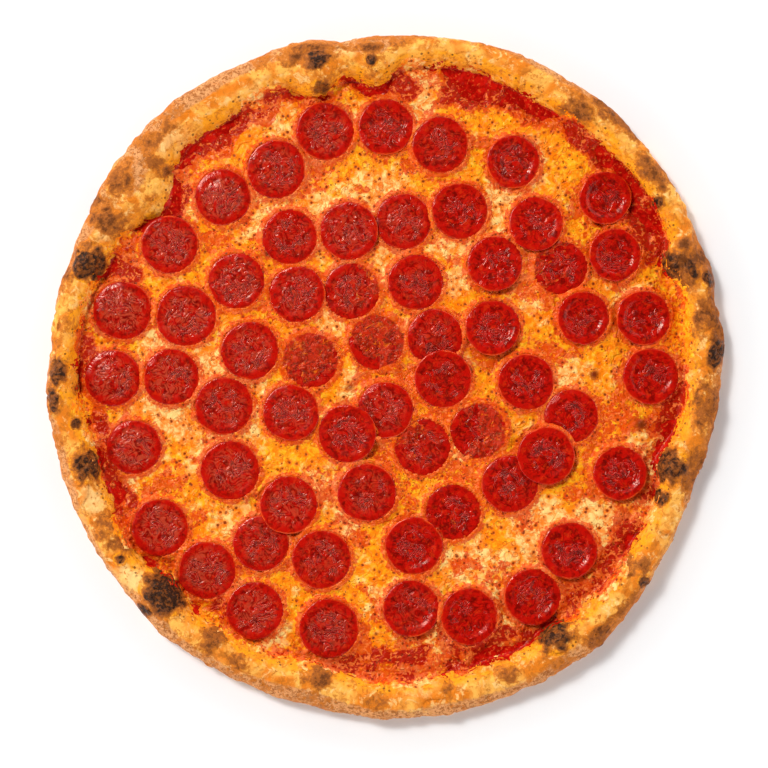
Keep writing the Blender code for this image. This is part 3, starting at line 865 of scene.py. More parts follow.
MARKS = (
    Mark(4.2, 200, 7.5, 5, Tone.CHAR, 1.1, 0.3), Mark(8, 191, 4, 4, Tone.TOAST, 0.6),
    Mark(17, 203, 6, 3.5, Tone.CHAR, 0.9, 0.8), Mark(21.8, 184, 7.5, 7, Tone.CHAR, 0.75, 1.2),
    Mark(20, 193, 13, 14, Tone.TOAST, 1.1), Mark(19.2, 195, 6, 3.5, Tone.CHAR, 0.8, 0.7),
    Mark(24, 196, 4.5, 4.5, Tone.TOAST, 1.2, 1.1), Mark(11, 197, 9, 8, Tone.TOAST, 1.0, 0.6),
    Mark(23.5, 197, 7, 5, Tone.TOAST, 0.9), Mark(32.5, 195, 3.5, 3.5, Tone.CHAR, 0.8),
    Mark(37.5, 203, 14, 6, Tone.TOAST, 0.9), Mark(54, 198, 10, 8, Tone.TOAST, 0.95, 0.4),
    Mark(50.5, 206, 4, 3, Tone.TOAST, 1.0), Mark(92.5, 190.2, 3, 3, Tone.CHAR, 0.9),
    Mark(101.9, 195, 5.5, 4.5, Tone.CHAR, 0.95, 0.4), Mark(103, 201, 18, 6, Tone.TOAST, 0.9),
    Mark(102.2, 178, 5, 4, Tone.CHAR, 0.5), Mark(136.8, 188, 4, 10, Tone.TOAST, 0.8),
    Mark(143.5, 198, 10, 7, Tone.TOAST, 1.0, 0.3), Mark(150.5, 190, 8, 12, Tone.TOAST, 1.0),
    Mark(158.8, 190, 9, 9, Tone.CHAR, 0.95, 0.6), Mark(162, 202, 5, 3, Tone.TOAST, 1.0),
    Mark(171, 196, 5, 5, Tone.TOAST, 0.6), Mark(174, 198, 5, 5, Tone.TOAST, 0.6),
    Mark(179, 197, 7, 5, Tone.CHAR, 0.75), Mark(184, 200, 6, 5, Tone.CHAR, 0.75),
    Mark(182, 184, 3, 3, Tone.CHAR, 0.8), Mark(188.5, 188, 3, 3, Tone.CHAR, 0.8),
    Mark(196.5, 186, 8, 8, Tone.CHAR, 0.75, 0.5), Mark(208, 191, 10, 7, Tone.TOAST, 0.65),
    Mark(212.5, 188, 7, 7, Tone.TOAST, 0.95), Mark(214.5, 193, 3, 3, Tone.CHAR, 0.8),
    Mark(224.3, 185, 11, 10.5, Tone.CHAR, 1.15, 1.4), Mark(92.5, 198.5, 8, 3, Tone.TOAST, 1.0),
    Mark(224, 201, 5, 3, Tone.CHAR, 0.9),
    Mark(236.5, 186, 8, 10, Tone.TOAST, 0.9, 0.5), Mark(243, 193, 7, 6, Tone.TOAST, 0.8, 0.3),
    Mark(257.5, 184, 9, 7, Tone.TOAST, 1.0, 0.4), Mark(268, 195, 7, 5, Tone.TOAST, 0.75),
    Mark(268.5, 183.5, 5, 3, Tone.TOAST, 0.6), Mark(281, 191, 4, 4, Tone.TOAST, 0.6),
    Mark(292.5, 193, 7, 7, Tone.TOAST, 0.8, 0.3), Mark(303.5, 185, 9.5, 9, Tone.CHAR, 0.75, 0.9),
    Mark(309.5, 203, 10, 6, Tone.TOAST, 0.9), Mark(312, 176, 4, 3.5, Tone.CHAR, 0.9),
    Mark(321.8, 199, 3.5, 3.5, Tone.CHAR, 0.9), Mark(324, 192, 6, 5, Tone.TOAST, 0.9),
    Mark(321.5, 185, 9, 6, Tone.TOAST, 0.9), Mark(342.5, 177, 9, 11, Tone.CHAR, 0.75, 0.8),
    Mark(336.5, 181, 4, 4, Tone.CHAR, 0.8), Mark(354.5, 195, 16, 9, Tone.TOAST, 0.9),
    Mark(203.5, 188, 9, 7, Tone.CREAM), Mark(115, 185, 14, 7, Tone.CREAM),
    Mark(218, 193, 10, 7, Tone.CREAM), Mark(97, 201, 9, 5, Tone.CREAM),
    Mark(132, 192, 11, 7, Tone.CREAM, 0.6), Mark(276.5, 185, 10, 6, Tone.CREAM),
    Mark(153, 190, 5, 5, Tone.CREAM, 0.7), Mark(101.7, 187, 11, 10, Tone.TOAST, 0.25, 1.3),
    Mark(91.5, 183, 9, 9, Tone.TOAST, 0.2, 1.3), Mark(145, 184, 14, 10, Tone.TOAST, 0.2, 0.9),
)


TOASTED_ARCS = (
    (2, 24, 0.95), (30, 64, 0.90), (64, 96, 0.50), (98, 112, 0.95), (128, 152, 0.85), (152, 176, 0.50),
    (176, 200, 0.35), (228, 262, 0.20), (262, 300, 0.15), (300, 330, 0.55), (330, 360, 0.85),
)


def zones(x: np.ndarray, y: np.ndarray, table: tuple[tuple[float, float, float, float], ...],
          ) -> np.ndarray:
    """Returns the sum of soft round zones.

    Args:
        x: Where to measure.
        y: The same along Y.
        table: The zones, as (x, y, radius, strength).

    Returns:
        The strength at each point.
    """
    total = np.zeros_like(x)
    for zone_x, zone_y, radius, strength in table:
        total += strength * np.exp(-((x - zone_x) ** 2 + (y - zone_y) ** 2) / radius ** 2)
    return total


@dataclass
class Crust:
    """The dough: the smooth form of the CAD crust with blisters, wrinkles and baked spots."""

    layout: Layout
    around: int = 1150
    across: int = 64
    under_rings: int = 15
    core_height: float = 9.5
    floor_height: float = 4.5
    foot_rise: float = 0.3         # how far over the floor the foot of the rim is measured
    half_width: float = 11.5       # from the foot of the rim to its middle
    far_out: float = 260.0         # radius that rays look inwards from
    side_height: float = 8.0       # height of those rays
    first_turn: float = 203.0      # from the core to the foot of the rim
    last_turn: float = -64.0       # from the core to the edge of the underside
    inner_shares: tuple[float, ...] = (0.35, 0.8, 0.97)
    under_shares: tuple[float, float] = (0.995, 0.055)
    lumps: tuple[tuple[float, float], ...] = ((19.0, 1.05), (7.5, 0.58), (3.4, 0.30))
    sink: float = 0.55             # how far the mean surface lies inside the CAD crust
    dome_step: float = 8.0
    dome_radius: float = 3.0
    dome_height: float = 1.0
    crease_size: float = 17.0
    crease_depth: float = 0.95
    attributes: dict[str, np.ndarray] = field(default_factory=dict)

    def build(self) -> bpy.types.Object:
        """Builds the crust's mesh and dresses it."""
        angles = 360.0 * np.arange(self.around) / self.around
        rim, heading = self._rim(angles)
        rim = self._relief(rim, heading)
        inner = rim[0].copy()
        inner[:, 2] = self.floor_height
        inside = [inner * (share, share, 1.0) for share in self.inner_shares]
        below = rim[-1].copy()
        below[:, 2] = 0.0
        under = [below * (share, share, 1.0) for share in np.linspace(*self.under_shares, self.under_rings)]
        rings = np.concatenate([np.stack(inside), rim, np.stack(under)])
        points, faces = close_rings(rings, self.floor_height, 0.0)
        self._tones(points)
        return add_piece("baked_crust", points, faces, CrustFinish().material(),
                         ("crust",), self.attributes)

    def _rim(self, angles: np.ndarray) -> tuple[np.ndarray, np.ndarray]:
        """Samples the CAD rim from its core and smooths its facets away.

        Args:
            angles: The angles of the sections, in degrees.

        Returns:
            The points and the headings from the core, one row for each turn of the section.
        """
        cad = self.layout.crust
        far = self.far_out
        foot = self.layout.edge(cad, self.floor_height + self.foot_rise, angles)
        outer = np.array([far - cad.reach(Vector((far * math.cos(turn), far * math.sin(turn),
                                                  self.side_height)),
                                          Vector((-math.cos(turn), -math.sin(turn), 0.0)))
                          for turn in np.radians(angles)])
        core = smooth_ring(0.5 * (foot + outer), 6.0)
        turns = np.radians(np.linspace(self.first_turn, self.last_turn, self.across))
        reach = np.empty((self.across, self.around))
        heading = np.empty((self.across, self.around, 3))
        for column, turn in enumerate(np.radians(angles)):
            start = Vector((core[column] * math.cos(turn), core[column] * math.sin(turn),
                            self.core_height))
            for row, tilt in enumerate(turns):
                way = Vector((math.cos(tilt) * math.cos(turn), math.cos(tilt) * math.sin(turn),
                              math.sin(tilt)))
                heading[row, column] = way
                reach[row, column] = cad.reach(start, way)
        reach = smooth_ring(smooth_ring(reach, 3.5, axis=1), 1.8, axis=0, closed=False)
        base = np.stack([core * np.cos(np.radians(angles)), core * np.sin(np.radians(angles)),
                         np.full(self.around, self.core_height)], axis=-1)
        return base[None] + heading * reach[..., None], heading

    def _relief(self, rim: np.ndarray, heading: np.ndarray) -> np.ndarray:
        """Adds lumps, creases, small domes and burnt blisters to the rim.

        Args:
            rim: The smooth points of the rim.
            heading: The way from the core to each point.

        Returns:
            The uneven points, none of them outside the CAD crust's box.
        """
        push = np.full(rim.shape[:-1], -self.sink)
        for seed, (size, amount) in enumerate(self.lumps):
            push += amount * Noise.fractal(rim, size, 2, 11 + 10 * seed)
        crease = np.abs(Noise.fractal(rim, self.crease_size, 2, 45))
        push -= self.crease_depth * smooth_step(crease, 0.10, 0.0)
        apart, tone = Noise.spots(rim, self.dome_step, 5)
        width = self.dome_radius * (0.4 + tone)
        domes = np.sqrt(np.clip(1.0 - (apart / width) ** 2, 0.0, 1.0)) * (tone > 0.4)
        push += self.dome_height * domes * (0.25 + 0.75 * tone)
        radii = np.hypot(rim[..., 0], rim[..., 1])
        angles = np.degrees(np.arctan2(rim[..., 1], rim[..., 0]))
        rough = Noise.fractal(rim, 3.0, 2, 61)
        for mark in MARKS:
            apart = mark.apart(angles, radii)
            push += mark.lift * np.clip(1.0 - apart ** 2, 0.0, 1.0) ** 0.6
            if mark.tone is Tone.CHAR:
                push += 0.45 * rough * smooth_step(apart, 1.1, 0.8)
        push *= smooth_step(rim[..., 2], 0.6, 5.0)
        uneven = rim + heading * push[..., None]
        low, high = self.layout.crust.points.min(axis=0), self.layout.crust.points.max(axis=0)
        return np.clip(uneven, low + 0.02, high - 0.02)

    def _tones(self, points: np.ndarray) -> None:
        """Stores where the crust is burnt, toasted, creamy, floury or oily.

        Args:
            points: All the vertices of the crust.
        """
        x, y, z = points.T
        radii, angles = np.hypot(x, y), np.degrees(np.arctan2(y, x))
        ragged = Noise.fractal(points, 5.0, 3, 31)
        tones = {tone: np.zeros(len(points)) for tone in Tone}
        halo = np.zeros(len(points))
        for mark in MARKS:
            apart = mark.apart(angles, radii)
            tones[mark.tone] = np.maximum(tones[mark.tone], mark.mask(apart, ragged))
            if mark.tone is Tone.CHAR:
                tones[Tone.TOAST] = np.maximum(tones[Tone.TOAST], 0.80 * mark.mask(apart, ragged, 0.35))
                halo = np.maximum(halo, smooth_step(np.abs(apart - 1.25), 0.35, 0.05))
        upper = smooth_step(z, 4.0, 9.0)
        core = self._core_radius(angles)
        under = smooth_step(z, 3.0, 0.3)
        side = np.maximum(smooth_step(radii - core, 3.0, 9.5), under)
        blotch = Noise.fractal(points, 20.0, 3, 41)
        spots = smooth_step(Noise.fractal(points, 26.0, 2, 51), 0.0, 0.75)
        arcs = self._arcs(angles) * smooth_step(radii - core, 0.0, 6.0)
        arcs *= smooth_step(blotch, -0.55, 0.45)
        toast = np.maximum(tones[Tone.TOAST] * upper, arcs)
        tones[Tone.TOAST] = np.maximum(toast, under * (0.35 + 0.55 * spots))
        burnt_base = under * smooth_step(spots, 0.75, 1.0) * 0.7
        tones[Tone.CHAR] = np.maximum(tones[Tone.CHAR] * upper, burnt_base)
        self.attributes = {tone.value: np.clip(values, 0.0, 1.3) for tone, values in tones.items()}
        self.attributes["flour"] = np.clip(side * (0.85 + 0.35 * blotch), 0.0, 1.0)
        inner = smooth_step(core - radii, -1.0, 7.0) * (1.0 - under)
        self.attributes["oil"] = np.clip(np.maximum(inner * (0.8 + 0.5 * ragged), halo * upper), 0.0, 1.0)

    @staticmethod
    def _arcs(angles: np.ndarray) -> np.ndarray:
        """Returns how much the outer side is toasted at any angles."""
        total = np.zeros_like(angles)
        turned = angles % 360.0
        for first, last, strength in TOASTED_ARCS:
            begun = smooth_step(turned, first - 3.0, first + 4.0)
            band = begun * smooth_step(turned, last + 3.0, last - 4.0)
            total = np.maximum(total, strength * band)
        return total

    def _core_radius(self, angles: np.ndarray) -> np.ndarray:
        """Returns the radius of the middle of the rim at any angles."""
        known = np.arange(0.0, 361.0, 2.0)
        foot = self.layout.edge(self.layout.crust, self.floor_height + self.foot_rise, known)
        return np.interp(angles % 360.0, known, foot + self.half_width)


@dataclass
class Sauce:
    """The sauce: a thin wet layer that creeps a little way up the foot of the rim."""

    layout: Layout
    dough: Surface
    around: int = 720
    rings: int = 60
    height: float = 6.5
    bottom: float = 4.8
    creep: float = 2.0

    def build(self) -> bpy.types.Object:
        """Builds the sauce's mesh and dresses it."""
        angles = 360.0 * np.arange(self.around) / self.around
        foot = smooth_ring(self.layout.edge(self.layout.crust, self.height, angles), 2.0)
        shares = np.concatenate([(0.3, 0.6, 0.75), np.linspace(0.80, 1.0, self.rings)])
        turn = np.radians(angles)
        ragged = Noise.fractal(np.stack([foot * np.cos(turn), foot * np.sin(turn), 0 * turn], axis=-1),
                               8.0, 4, 71)
        radii = shares[:, None] * (foot + self.creep * (1.2 + ragged))[None]
        top = np.stack([radii * np.cos(turn), radii * np.sin(turn), np.zeros_like(radii)], axis=-1)
        top[..., 2] = self.height + 0.28 * Noise.fractal(top, 7.0, 3, 81)
        top[..., 2] += 0.14 * Noise.fractal(top, 2.5, 2, 91)
        for ring, step in zip(*np.nonzero(radii > foot[None] - 3.0)):
            ground = self.dough.height(top[ring, step, 0], top[ring, step, 1])
            cover = 0.15 - 0.6 * smooth_step(shares[ring], 0.985, 1.0)
            top[ring, step, 2] = max(top[ring, step, 2], ground + cover)
        low = top[-1].copy()
        low[:, 2] = self.bottom
        points, faces = close_rings(np.concatenate([top, [low]]), self.height, self.bottom)
        return add_piece("tomato_sauce", points, faces, SauceFinish().material(),
                         ("sauce",), {})


@dataclass
class Cheese:
    """The cheese: one melted layer with curds and hollows that ends raggedly near the rim."""

    layout: Layout
    dough: Surface
    step: float = 1.15
    reach: float = 202.0
    bottom: float = 4.9
    bed: float = 8.4               # height of the layer where its CAD solid isn't met
    lowest_bed: float = 8.0
    absent: float = 5.9            # height where there is no cheese, under the top of the sauce
    film: float = 0.35             # how far a veil of cheese stands over a slice
    fill: float = 6.0              # how far the cheese runs up the rim from its foot
    fillet: float = 4.0
    bare: tuple[tuple[float, float, float], ...] = (
        (37, 11, 9), (60, 4, 4), (72, 11, 9), (93, 4, 6), (107, 4, 4), (124, 4, 7), (140, 9, 8),
        (158, 3, 3), (178, 4, 4), (203, 5, 4), (218, 4, 4), (232, 4, 4), (250, 4, 4), (263, 3, 3),
        (282, 3, 3), (295, 6, 7), (307, 3, 3), (329, 6, 5), (348, 7, 5))
    sauce_smears_and_shadow: tuple[tuple[float, float, float, float, float, float], ...] = (
        # The second stroke here lies under the rim's fold on the left: partly real sauce, partly painted
        # shadow.
        (-82, 157, -109, 136, 4.5, 1.2), (-119, 110, -128, 93, 4.0, 1.3), (40, 170, 78, 166, 9, 0.8),
        (114, 146, 132, 130, 6.5, 0.9), (144, 104, 166, 76, 7.5, 1.1), (-178, 20, -172, 9, 4.5, 1.0),
        (-160, 66, -150, 61, 4.5, 1.0), (-27, 183, -17, 176, 6.5, 1.0), (0, 183, 12, 172, 8.0, 1.0),
        (-66, 168, -50, 176, 6.0, 0.7), (56, -158, 72, -152, 5.0, 1.1), (98, -166, 106, -158, 5.5, 1.0),
        (-2, -167, 22, -166, 5.0, 0.8), (-160, -65, -150, -74, 4.5, 0.8), (-171, -24, -165, -38, 4.0, 0.7),
        (-72, -80, -64, -86, 4.0, 0.8), (140, -100, 150, -88, 6.0, 0.6), (176, -5, 170, -30, 5.0, 0.7),
        (-140, -118, -128, -128, 5.0, 0.8), (182, 45, 178, 60, 5.0, 0.7), (-100, -136, -84, -146, 4.5, 0.7))
    red_zones: tuple[tuple[float, float, float, float], ...] = (
        (51, 167, 24, 0.40), (144, 106, 26, 0.32), (168, -8, 18, 0.25), (-111, 130, 22, 0.32),
        (-153, 61, 16, 0.35), (-156, -56, 20, 0.28), (18, -161, 30, 0.30), (-20, 138, 14, 0.25),
        (-70, -75, 16, 0.20), (120, 62, 16, 0.22), (150, -100, 18, 0.25), (95, -150, 18, 0.30),
        (-95, -118, 16, 0.25), (75, -60, 16, 0.15), (-150, 15, 14, 0.2))
    pale_zones: tuple[tuple[float, float, float, float], ...] = (
        (-125, 10, 55, 0.22), (-60, 125, 50, 0.12), (-100, -90, 50, 0.16), (115, -95, 50, 0.20),
        (20, 120, 30, 0.12), (30, -20, 55, -0.22), (95, 55, 50, -0.10))
    burns: tuple[tuple[float, float, float, float], ...] = (
        (125.1, 1.4, 2.2, 1.1), (153, -28.5, 3.2, 0.8), (-70, 74, 2.6, 0.6), (187, 26, 3.0, 0.5),
        (-21, -6, 2.2, 0.6), (-69, -21, 2.0, 0.5))

    def build(self) -> bpy.types.Object:
        """Builds the cheese's mesh and dresses it."""
        count = int(2 * self.reach / self.step) + 1
        line = (np.arange(count) - 0.5 * (count - 1)) * self.step
        x, y = np.meshgrid(line, line, indexing="ij")
        points = np.stack([x, y, np.zeros_like(x)], axis=-1)
        angles, radii = np.degrees(np.arctan2(y, x)), np.hypot(x, y)
        known = np.arange(0.0, 361.0, 1.0)
        foot = np.interp(angles % 360.0, known, self.layout.edge(self.layout.crust, self.bed, known))
        patches = sum(depth * np.exp(-(turn_between(angles, centre) / width) ** 2)
                      for centre, depth, width in self.bare)
        patches *= 1.0 + 0.9 * Noise.fractal(points, 13.0, 3, 241)
        inside = radii < foot + 9.0
        fill = self.fill * (1.0 - smooth_step(patches, 1.0, 5.0))
        for mark in MARKS:
            if mark.tone is Tone.CHAR and mark.radius < 191.0:
                width = np.degrees(1.2 * mark.wide / mark.radius)
                fill *= 1.0 - np.exp(-(turn_between(angles, mark.angle) / width) ** 4)
        fields = self._fields(points, radii, foot, foot - patches + fill, inside)
        height = self._height(points, fields)
        height = self._lap(points, height, radii > foot - 9.0, fields)
        points[..., 2] = self._meet_slices(x, y, height, fields)
        return self._solid(points, fields)

    def _fields(self, points: np.ndarray, radii: np.ndarray, foot: np.ndarray, edge: np.ndarray,
                inside: np.ndarray) -> dict[str, np.ndarray]:
        """Works out the fields that shape and colour the cheese.

        Args:
            points: The grid of points, in the plane z = 0.
            radii: Their distance from the axis.
            foot: The radius of the rim's foot, at their angles.
            edge: The radius at which the cheese ends, at their angles.
            inside: Which of them the layer covers.

        Returns:
            The fields by name, each a grid.
        """
        x, y = points[..., 0], points[..., 1]
        warp = 2.4 * np.stack([Noise.fractal(points, 9.0, 2, seed) for seed in (111, 121, 131)], axis=-1)
        warp[..., 2] = 0.0
        apart, tone = Noise.spots(points + warp, 5.2, 141, flat=True)
        curd = np.clip(1.0 - apart / 3.7, 0.0, 1.0) * (0.35 + 0.9 * tone)
        ragged = 2.4 * Noise.fractal(points, 11.0, 4, 101) + 3.0 * (curd - 0.3)
        limit = foot + 8.2 - radii - 2.4 * (1.0 + Noise.fractal(points, 6.0, 2, 231))
        inner = np.minimum(edge - radii + ragged, limit)
        presence = smooth_step(inner, -0.4, 2.0)
        wide = Noise.fractal(points, 34.0, 3, 151)
        red = 0.60 * smooth_step(Noise.fractal(points, 14.0, 4, 161), -0.20, 0.72)
        red += 0.40 * np.exp(-((foot - 5.0 - radii) / 9.0) ** 2) + zones(x, y, self.red_zones)
        red += self._sauce_smears_and_shadow(x, y, 3.0 * Noise.fractal(points, 7.0, 3, 211))
        red *= 1.0 - 0.8 * smooth_step(radii - foot, 0.0, 4.5)
        # Paler where the curds stand up: partly their own colour, partly a painted highlight on their tops.
        pale = 0.33 + 0.56 * Noise.fractal(points, 22.0, 3, 171) + 0.36 * (curd - 0.35)
        pale += zones(x, y, self.pale_zones) + 0.08 * smooth_step(radii - foot, -3.0, 4.0)
        burn = np.clip(1.6 * zones(x, y, self.burns), 0.0, 1.0)
        return {"presence": presence, "curd": curd, "wide": wide, "red": red, "pale": pale,
                "burn": burn, "inner": inner, "veil": np.zeros_like(radii), "inside": inside}

    def _sauce_smears_and_shadow(self, x: np.ndarray, y: np.ndarray, ragged: np.ndarray) -> np.ndarray:
        """Returns the smears of sauce, one of them partly a painted shadow under the rim's fold: soft
        strokes with ragged edges.

        Args:
            x: The grid's x.
            y: The grid's y.
            ragged: How far their edges move, in millimetres.

        Returns:
            How red each point is.
        """
        total = np.zeros_like(x)
        for x0, y0, x1, y1, width, strength in self.sauce_smears_and_shadow:
            length = np.hypot(x1 - x0, y1 - y0)
            part = np.clip(((x - x0) * (x1 - x0) + (y - y0) * (y1 - y0)) / length ** 2, 0.0, 1.0)
            apart = np.hypot(x - x0 - part * (x1 - x0), y - y0 - part * (y1 - y0)) + ragged
            total = np.maximum(total, strength * smooth_step(apart, 1.25 * width, 0.5 * width))
        return total

    def _height(self, points: np.ndarray, fields: dict[str, np.ndarray]) -> np.ndarray:
        """Returns the height of the free surface of the cheese."""
        flat = points.reshape(-1, 3)
        low = np.full(len(flat), self.bed)
        for index in np.flatnonzero(fields["inside"].reshape(-1)):
            found = self.layout.cheese.height(flat[index, 0], flat[index, 1])
            low[index] = self.bed if found is None else max(found, self.lowest_bed)
        bed = low.reshape(points.shape[:2])
        bed = smooth_ring(smooth_ring(bed, 3.0, axis=0, closed=False), 3.0, axis=1, closed=False)
        top = bed + 0.30 * fields["wide"] + 0.70 * (fields["curd"] - 0.30)
        top += 0.16 * Noise.fractal(points, 3.2, 2, 181) + 0.5 * fields["burn"]
        taper = 0.45 + 0.55 * smooth_step(fields["inner"], 0.0, 9.0)
        return self.absent + (top - self.absent) * fields["presence"] * taper

    def _lap(self, points: np.ndarray, height: np.ndarray, near: np.ndarray,
             fields: dict[str, np.ndarray]) -> np.ndarray:
        """Lets the cheese lap onto the foot of the rim where it reaches that far.

        Args:
            points: The grid of points.
            height: The height of the cheese.
            near: Which points lie near the rim.
            fields: The fields of the cheese.

        Returns:
            The height of the cheese, just inside the crust where there is none.
        """
        ground = np.zeros_like(height)
        for row, column in zip(*np.nonzero(near & fields["inside"])):
            ground[row, column] = self.dough.height(points[row, column, 0], points[row, column, 1])
        climb = ground + 0.30 + 0.4 * (fields["curd"] - 0.3)
        blend = self.fillet * fields["presence"] + 0.01
        share = np.clip(1.0 - np.abs(height - climb) / blend, 0.0, 1.0)
        over = np.maximum(height, climb) + 0.25 * blend * share ** 2
        sunk = ground - 0.8
        on_slope = ground > self.absent + 0.6
        return np.where(on_slope, sunk + (over - sunk) * fields["presence"], over)

    def _meet_slices(self, x: np.ndarray, y: np.ndarray, height: np.ndarray,
                     fields: dict[str, np.ndarray]) -> np.ndarray:
        """Lets the cheese lie flat under the slices, touch their edges and veil the sunk ones.

        Args:
            x: The grid's x.
            y: The grid's y.
            height: The free surface of the cheese.
            fields: The fields of the cheese, whose veil and red are filled in here.

        Returns:
            The height of the cheese.
        """
        covers = {piece.name: cover for piece, cover in self.layout.covers()}
        for piece in self.layout.slices + self.layout.hidden:
            apart = np.hypot(x - piece.x, y - piece.y)
            near = apart < piece.radius + 7.0
            d = apart[near]
            surface = piece.level(x[near], y[near])
            under = surface - 0.5 * piece.thickness - 0.1
            brim = surface - 0.5 * piece.thickness + 1.4
            level = height[near]
            touch = smooth_step(d - piece.radius, 4.2, 0.2) * smooth_step(brim - level, 4.8, 3.0)
            met = np.maximum(level, level + (brim - level) * touch)
            met = np.where(d < piece.radius - 0.6, np.minimum(met, under), met)
            if piece.name in covers:
                side, amount = covers[piece.name].value
                met = self._veil(piece, side, amount, (x[near], y[near]), near, (met, surface), fields)
            height[near] = met
            halo = smooth_step(d - piece.radius, 6.5, 0.4)
            fields["red"][near] = np.maximum(fields["red"][near], 0.66 * halo)
        return height

    def _veil(self, piece: Slice, side: float, amount: float, place: tuple[np.ndarray, np.ndarray],
              near: np.ndarray, levels: tuple[np.ndarray, np.ndarray],
              fields: dict[str, np.ndarray]) -> np.ndarray:
        """Draws a thin film of cheese over part of a sunk slice.

        Args:
            piece: The slice.
            side: The side that the film comes from, in degrees.
            amount: How much of the slice it covers.
            place: The points' x and y.
            near: Which points of the grid they are.
            levels: The heights there of the cheese and of the slice's middle.
            fields: The fields of the cheese, whose veil is filled in here.

        Returns:
            The height with the film.
        """
        level, surface = levels
        dx, dy = place[0] - piece.x, place[1] - piece.y
        turn = math.radians(side)
        along = (dx * math.cos(turn) + dy * math.sin(turn)) / piece.radius
        rim = np.hypot(dx, dy) / piece.radius
        spots = np.stack([*place, 0 * dx], axis=-1)
        ragged = 0.40 * Noise.fractal(spots, 9.0, 3, 191) + 0.45 * Noise.fractal(spots, 3.4, 2, 201)
        cover = smooth_step(along + ragged, 0.95 - 2.0 * amount, 1.25 - 2.0 * amount)
        film = surface + 0.5 * piece.thickness + self.film * (2.0 * cover - 1.0)
        folds = np.abs(Noise.fractal(spots, 4.2, 2, 221))
        film += 0.5 * fields["curd"][near] + 0.8 * cover * (0.35 - folds)
        spread = smooth_step(rim, 1.28, 0.98)
        shown = smooth_step(rim + 0.08 * ragged, 1.05, 0.86) * smooth_step(cover, 0.1, 0.5)
        thin = np.clip(0.90 - 0.20 * (along + 2.0 * amount - 1.0) + 0.35 * ragged, 0.3, 0.95)
        fields["veil"][near] = np.maximum(fields["veil"][near], shown * thin)
        return np.maximum(level, level + (film - level) * spread * smooth_step(cover, 0.0, 0.3))

    def _solid(self, points: np.ndarray, fields: dict[str, np.ndarray]) -> bpy.types.Object:
        """Makes the covered cells of the grid a closed mesh with a flat underside.

        Args:
            points: The grid of surface points.
            fields: The fields, of which some are stored as attributes.

        Returns:
            The cheese's object.
        """
        inside = fields["inside"]
        keep = inside[:-1, :-1] & inside[1:, :-1] & inside[1:, 1:] & inside[:-1, 1:]
        number = np.arange(points.shape[0] * points.shape[1]).reshape(points.shape[:2])
        quads = np.stack([number[:-1, :-1], number[1:, :-1], number[1:, 1:], number[:-1, 1:]], axis=-1)
        used, quads = np.unique(quads[keep], return_inverse=True)
        quads = quads.reshape(-1, 4)
        flat = points.reshape(-1, 3)[used]
        sides = np.concatenate([quads[:, [i, (i + 1) % 4]] for i in range(4)])
        known = {tuple(side) for side in sides.tolist()}
        border = [side for side in sides.tolist() if (side[1], side[0]) not in known]
        rim = sorted({end for side in border for end in side})
        lower = {end: len(flat) + place for place, end in enumerate(rim)}
        below = flat[rim].copy()
        below[:, 2] = self.bottom
        middle = len(flat) + len(rim)
        faces = quads.tolist()
        for first, second in border:
            faces.append([second, first, lower[first], lower[second]])
            faces.append([lower[second], lower[first], middle])
        count = len(flat)
        flat = np.concatenate([flat, below, [(0.0, 0.0, self.bottom)]])
        attributes = {}
        for name in ("curd", "red", "pale", "veil", "burn"):
            values = np.zeros(len(flat))
            values[:count] = fields[name].reshape(-1)[used]
            attributes[name] = values
        return add_piece("melted_cheese", flat, faces, CheeseFinish().material(),
                         ("cheese",), attributes)


class NodeTree:
    """Builds a Geometry Nodes tree step by step."""

    def __init__(self, name: str, inputs: dict[str, str]) -> None:
        """Makes an empty tree with named inputs and a geometry output.

        Args:
            name: The tree's name.
            inputs: The kind of socket for each input's name, such as Float.
        """
        self.tree = bpy.data.node_groups.new(name, "GeometryNodeTree")
        for label, kind in inputs.items():
            self.tree.interface.new_socket(label, in_out="INPUT", socket_type="NodeSocket" + kind)
        self.tree.interface.new_socket("Geometry", in_out="OUTPUT", socket_type="NodeSocketGeometry")
        self.inputs = self.tree.nodes.new("NodeGroupInput").outputs
        self.output = self.tree.nodes.new("NodeGroupOutput").inputs[0]

    def add(self, kind: str, *values: Any, settings: dict[str, Any] | None = None) -> Any:
        """Adds a node and feeds its inputs in order.

        Args:
            kind: The node's type.
            values: A socket to link or a value to set for each input, or None to leave it.
            settings: Properties of the node.

        Returns:
            The node's first output.
        """
        node = self.tree.nodes.new(kind)
        for name, value in (settings or {}).items():
            setattr(node, name, value)
        sockets = [socket for socket in node.inputs if socket.enabled]
        for socket, value in zip(sockets, values):
            if isinstance(value, bpy.types.NodeSocket):
                self.tree.links.new(value, socket)
            elif value is not None:
                socket.default_value = value
        return next(socket for socket in node.outputs if socket.enabled)

    def math(self, operation: str, *values: Any) -> Any:
        """Returns the result of one operation on numbers."""
        return self.add("ShaderNodeMath", *values, settings={"operation": operation})

    def total(self, *values: Any) -> Any:
        """Returns the sum of several values."""
        result = values[0]
        for value in values[1:]:
            result = self.math("ADD", result, value)
        return result

    def product(self, *values: Any) -> Any:
        """Returns the product of several values."""
        result = values[0]
        for value in values[1:]:
            result = self.math("MULTIPLY", result, value)
        return result

    def curve(self, value: Any, points: tuple[tuple[float, float], ...]) -> Any:
        """Returns a value read from a smooth curve through points."""
        result = self.add("ShaderNodeFloatCurve", 1.0, value)
        curve = result.node.mapping.curves[0]
        for place, (x, y) in enumerate(points):
            if place < len(curve.points):
                curve.points[place].location = (x, y)
            else:
                curve.points.new(x, y)
        result.node.mapping.update()
        return result

    def noise(self, place: Any, size: float, detail: float) -> Any:
        """Returns noise from -0.5 to 0.5, with features about size millimetres across."""
        node = self.tree.nodes.new("ShaderNodeTexNoise")
        self.tree.links.new(place, node.inputs["Vector"])
        node.inputs["Scale"].default_value = 1.0 / (size * MM)
        node.inputs["Detail"].default_value = detail
        return self.math("SUBTRACT", node.outputs[0], 0.5)


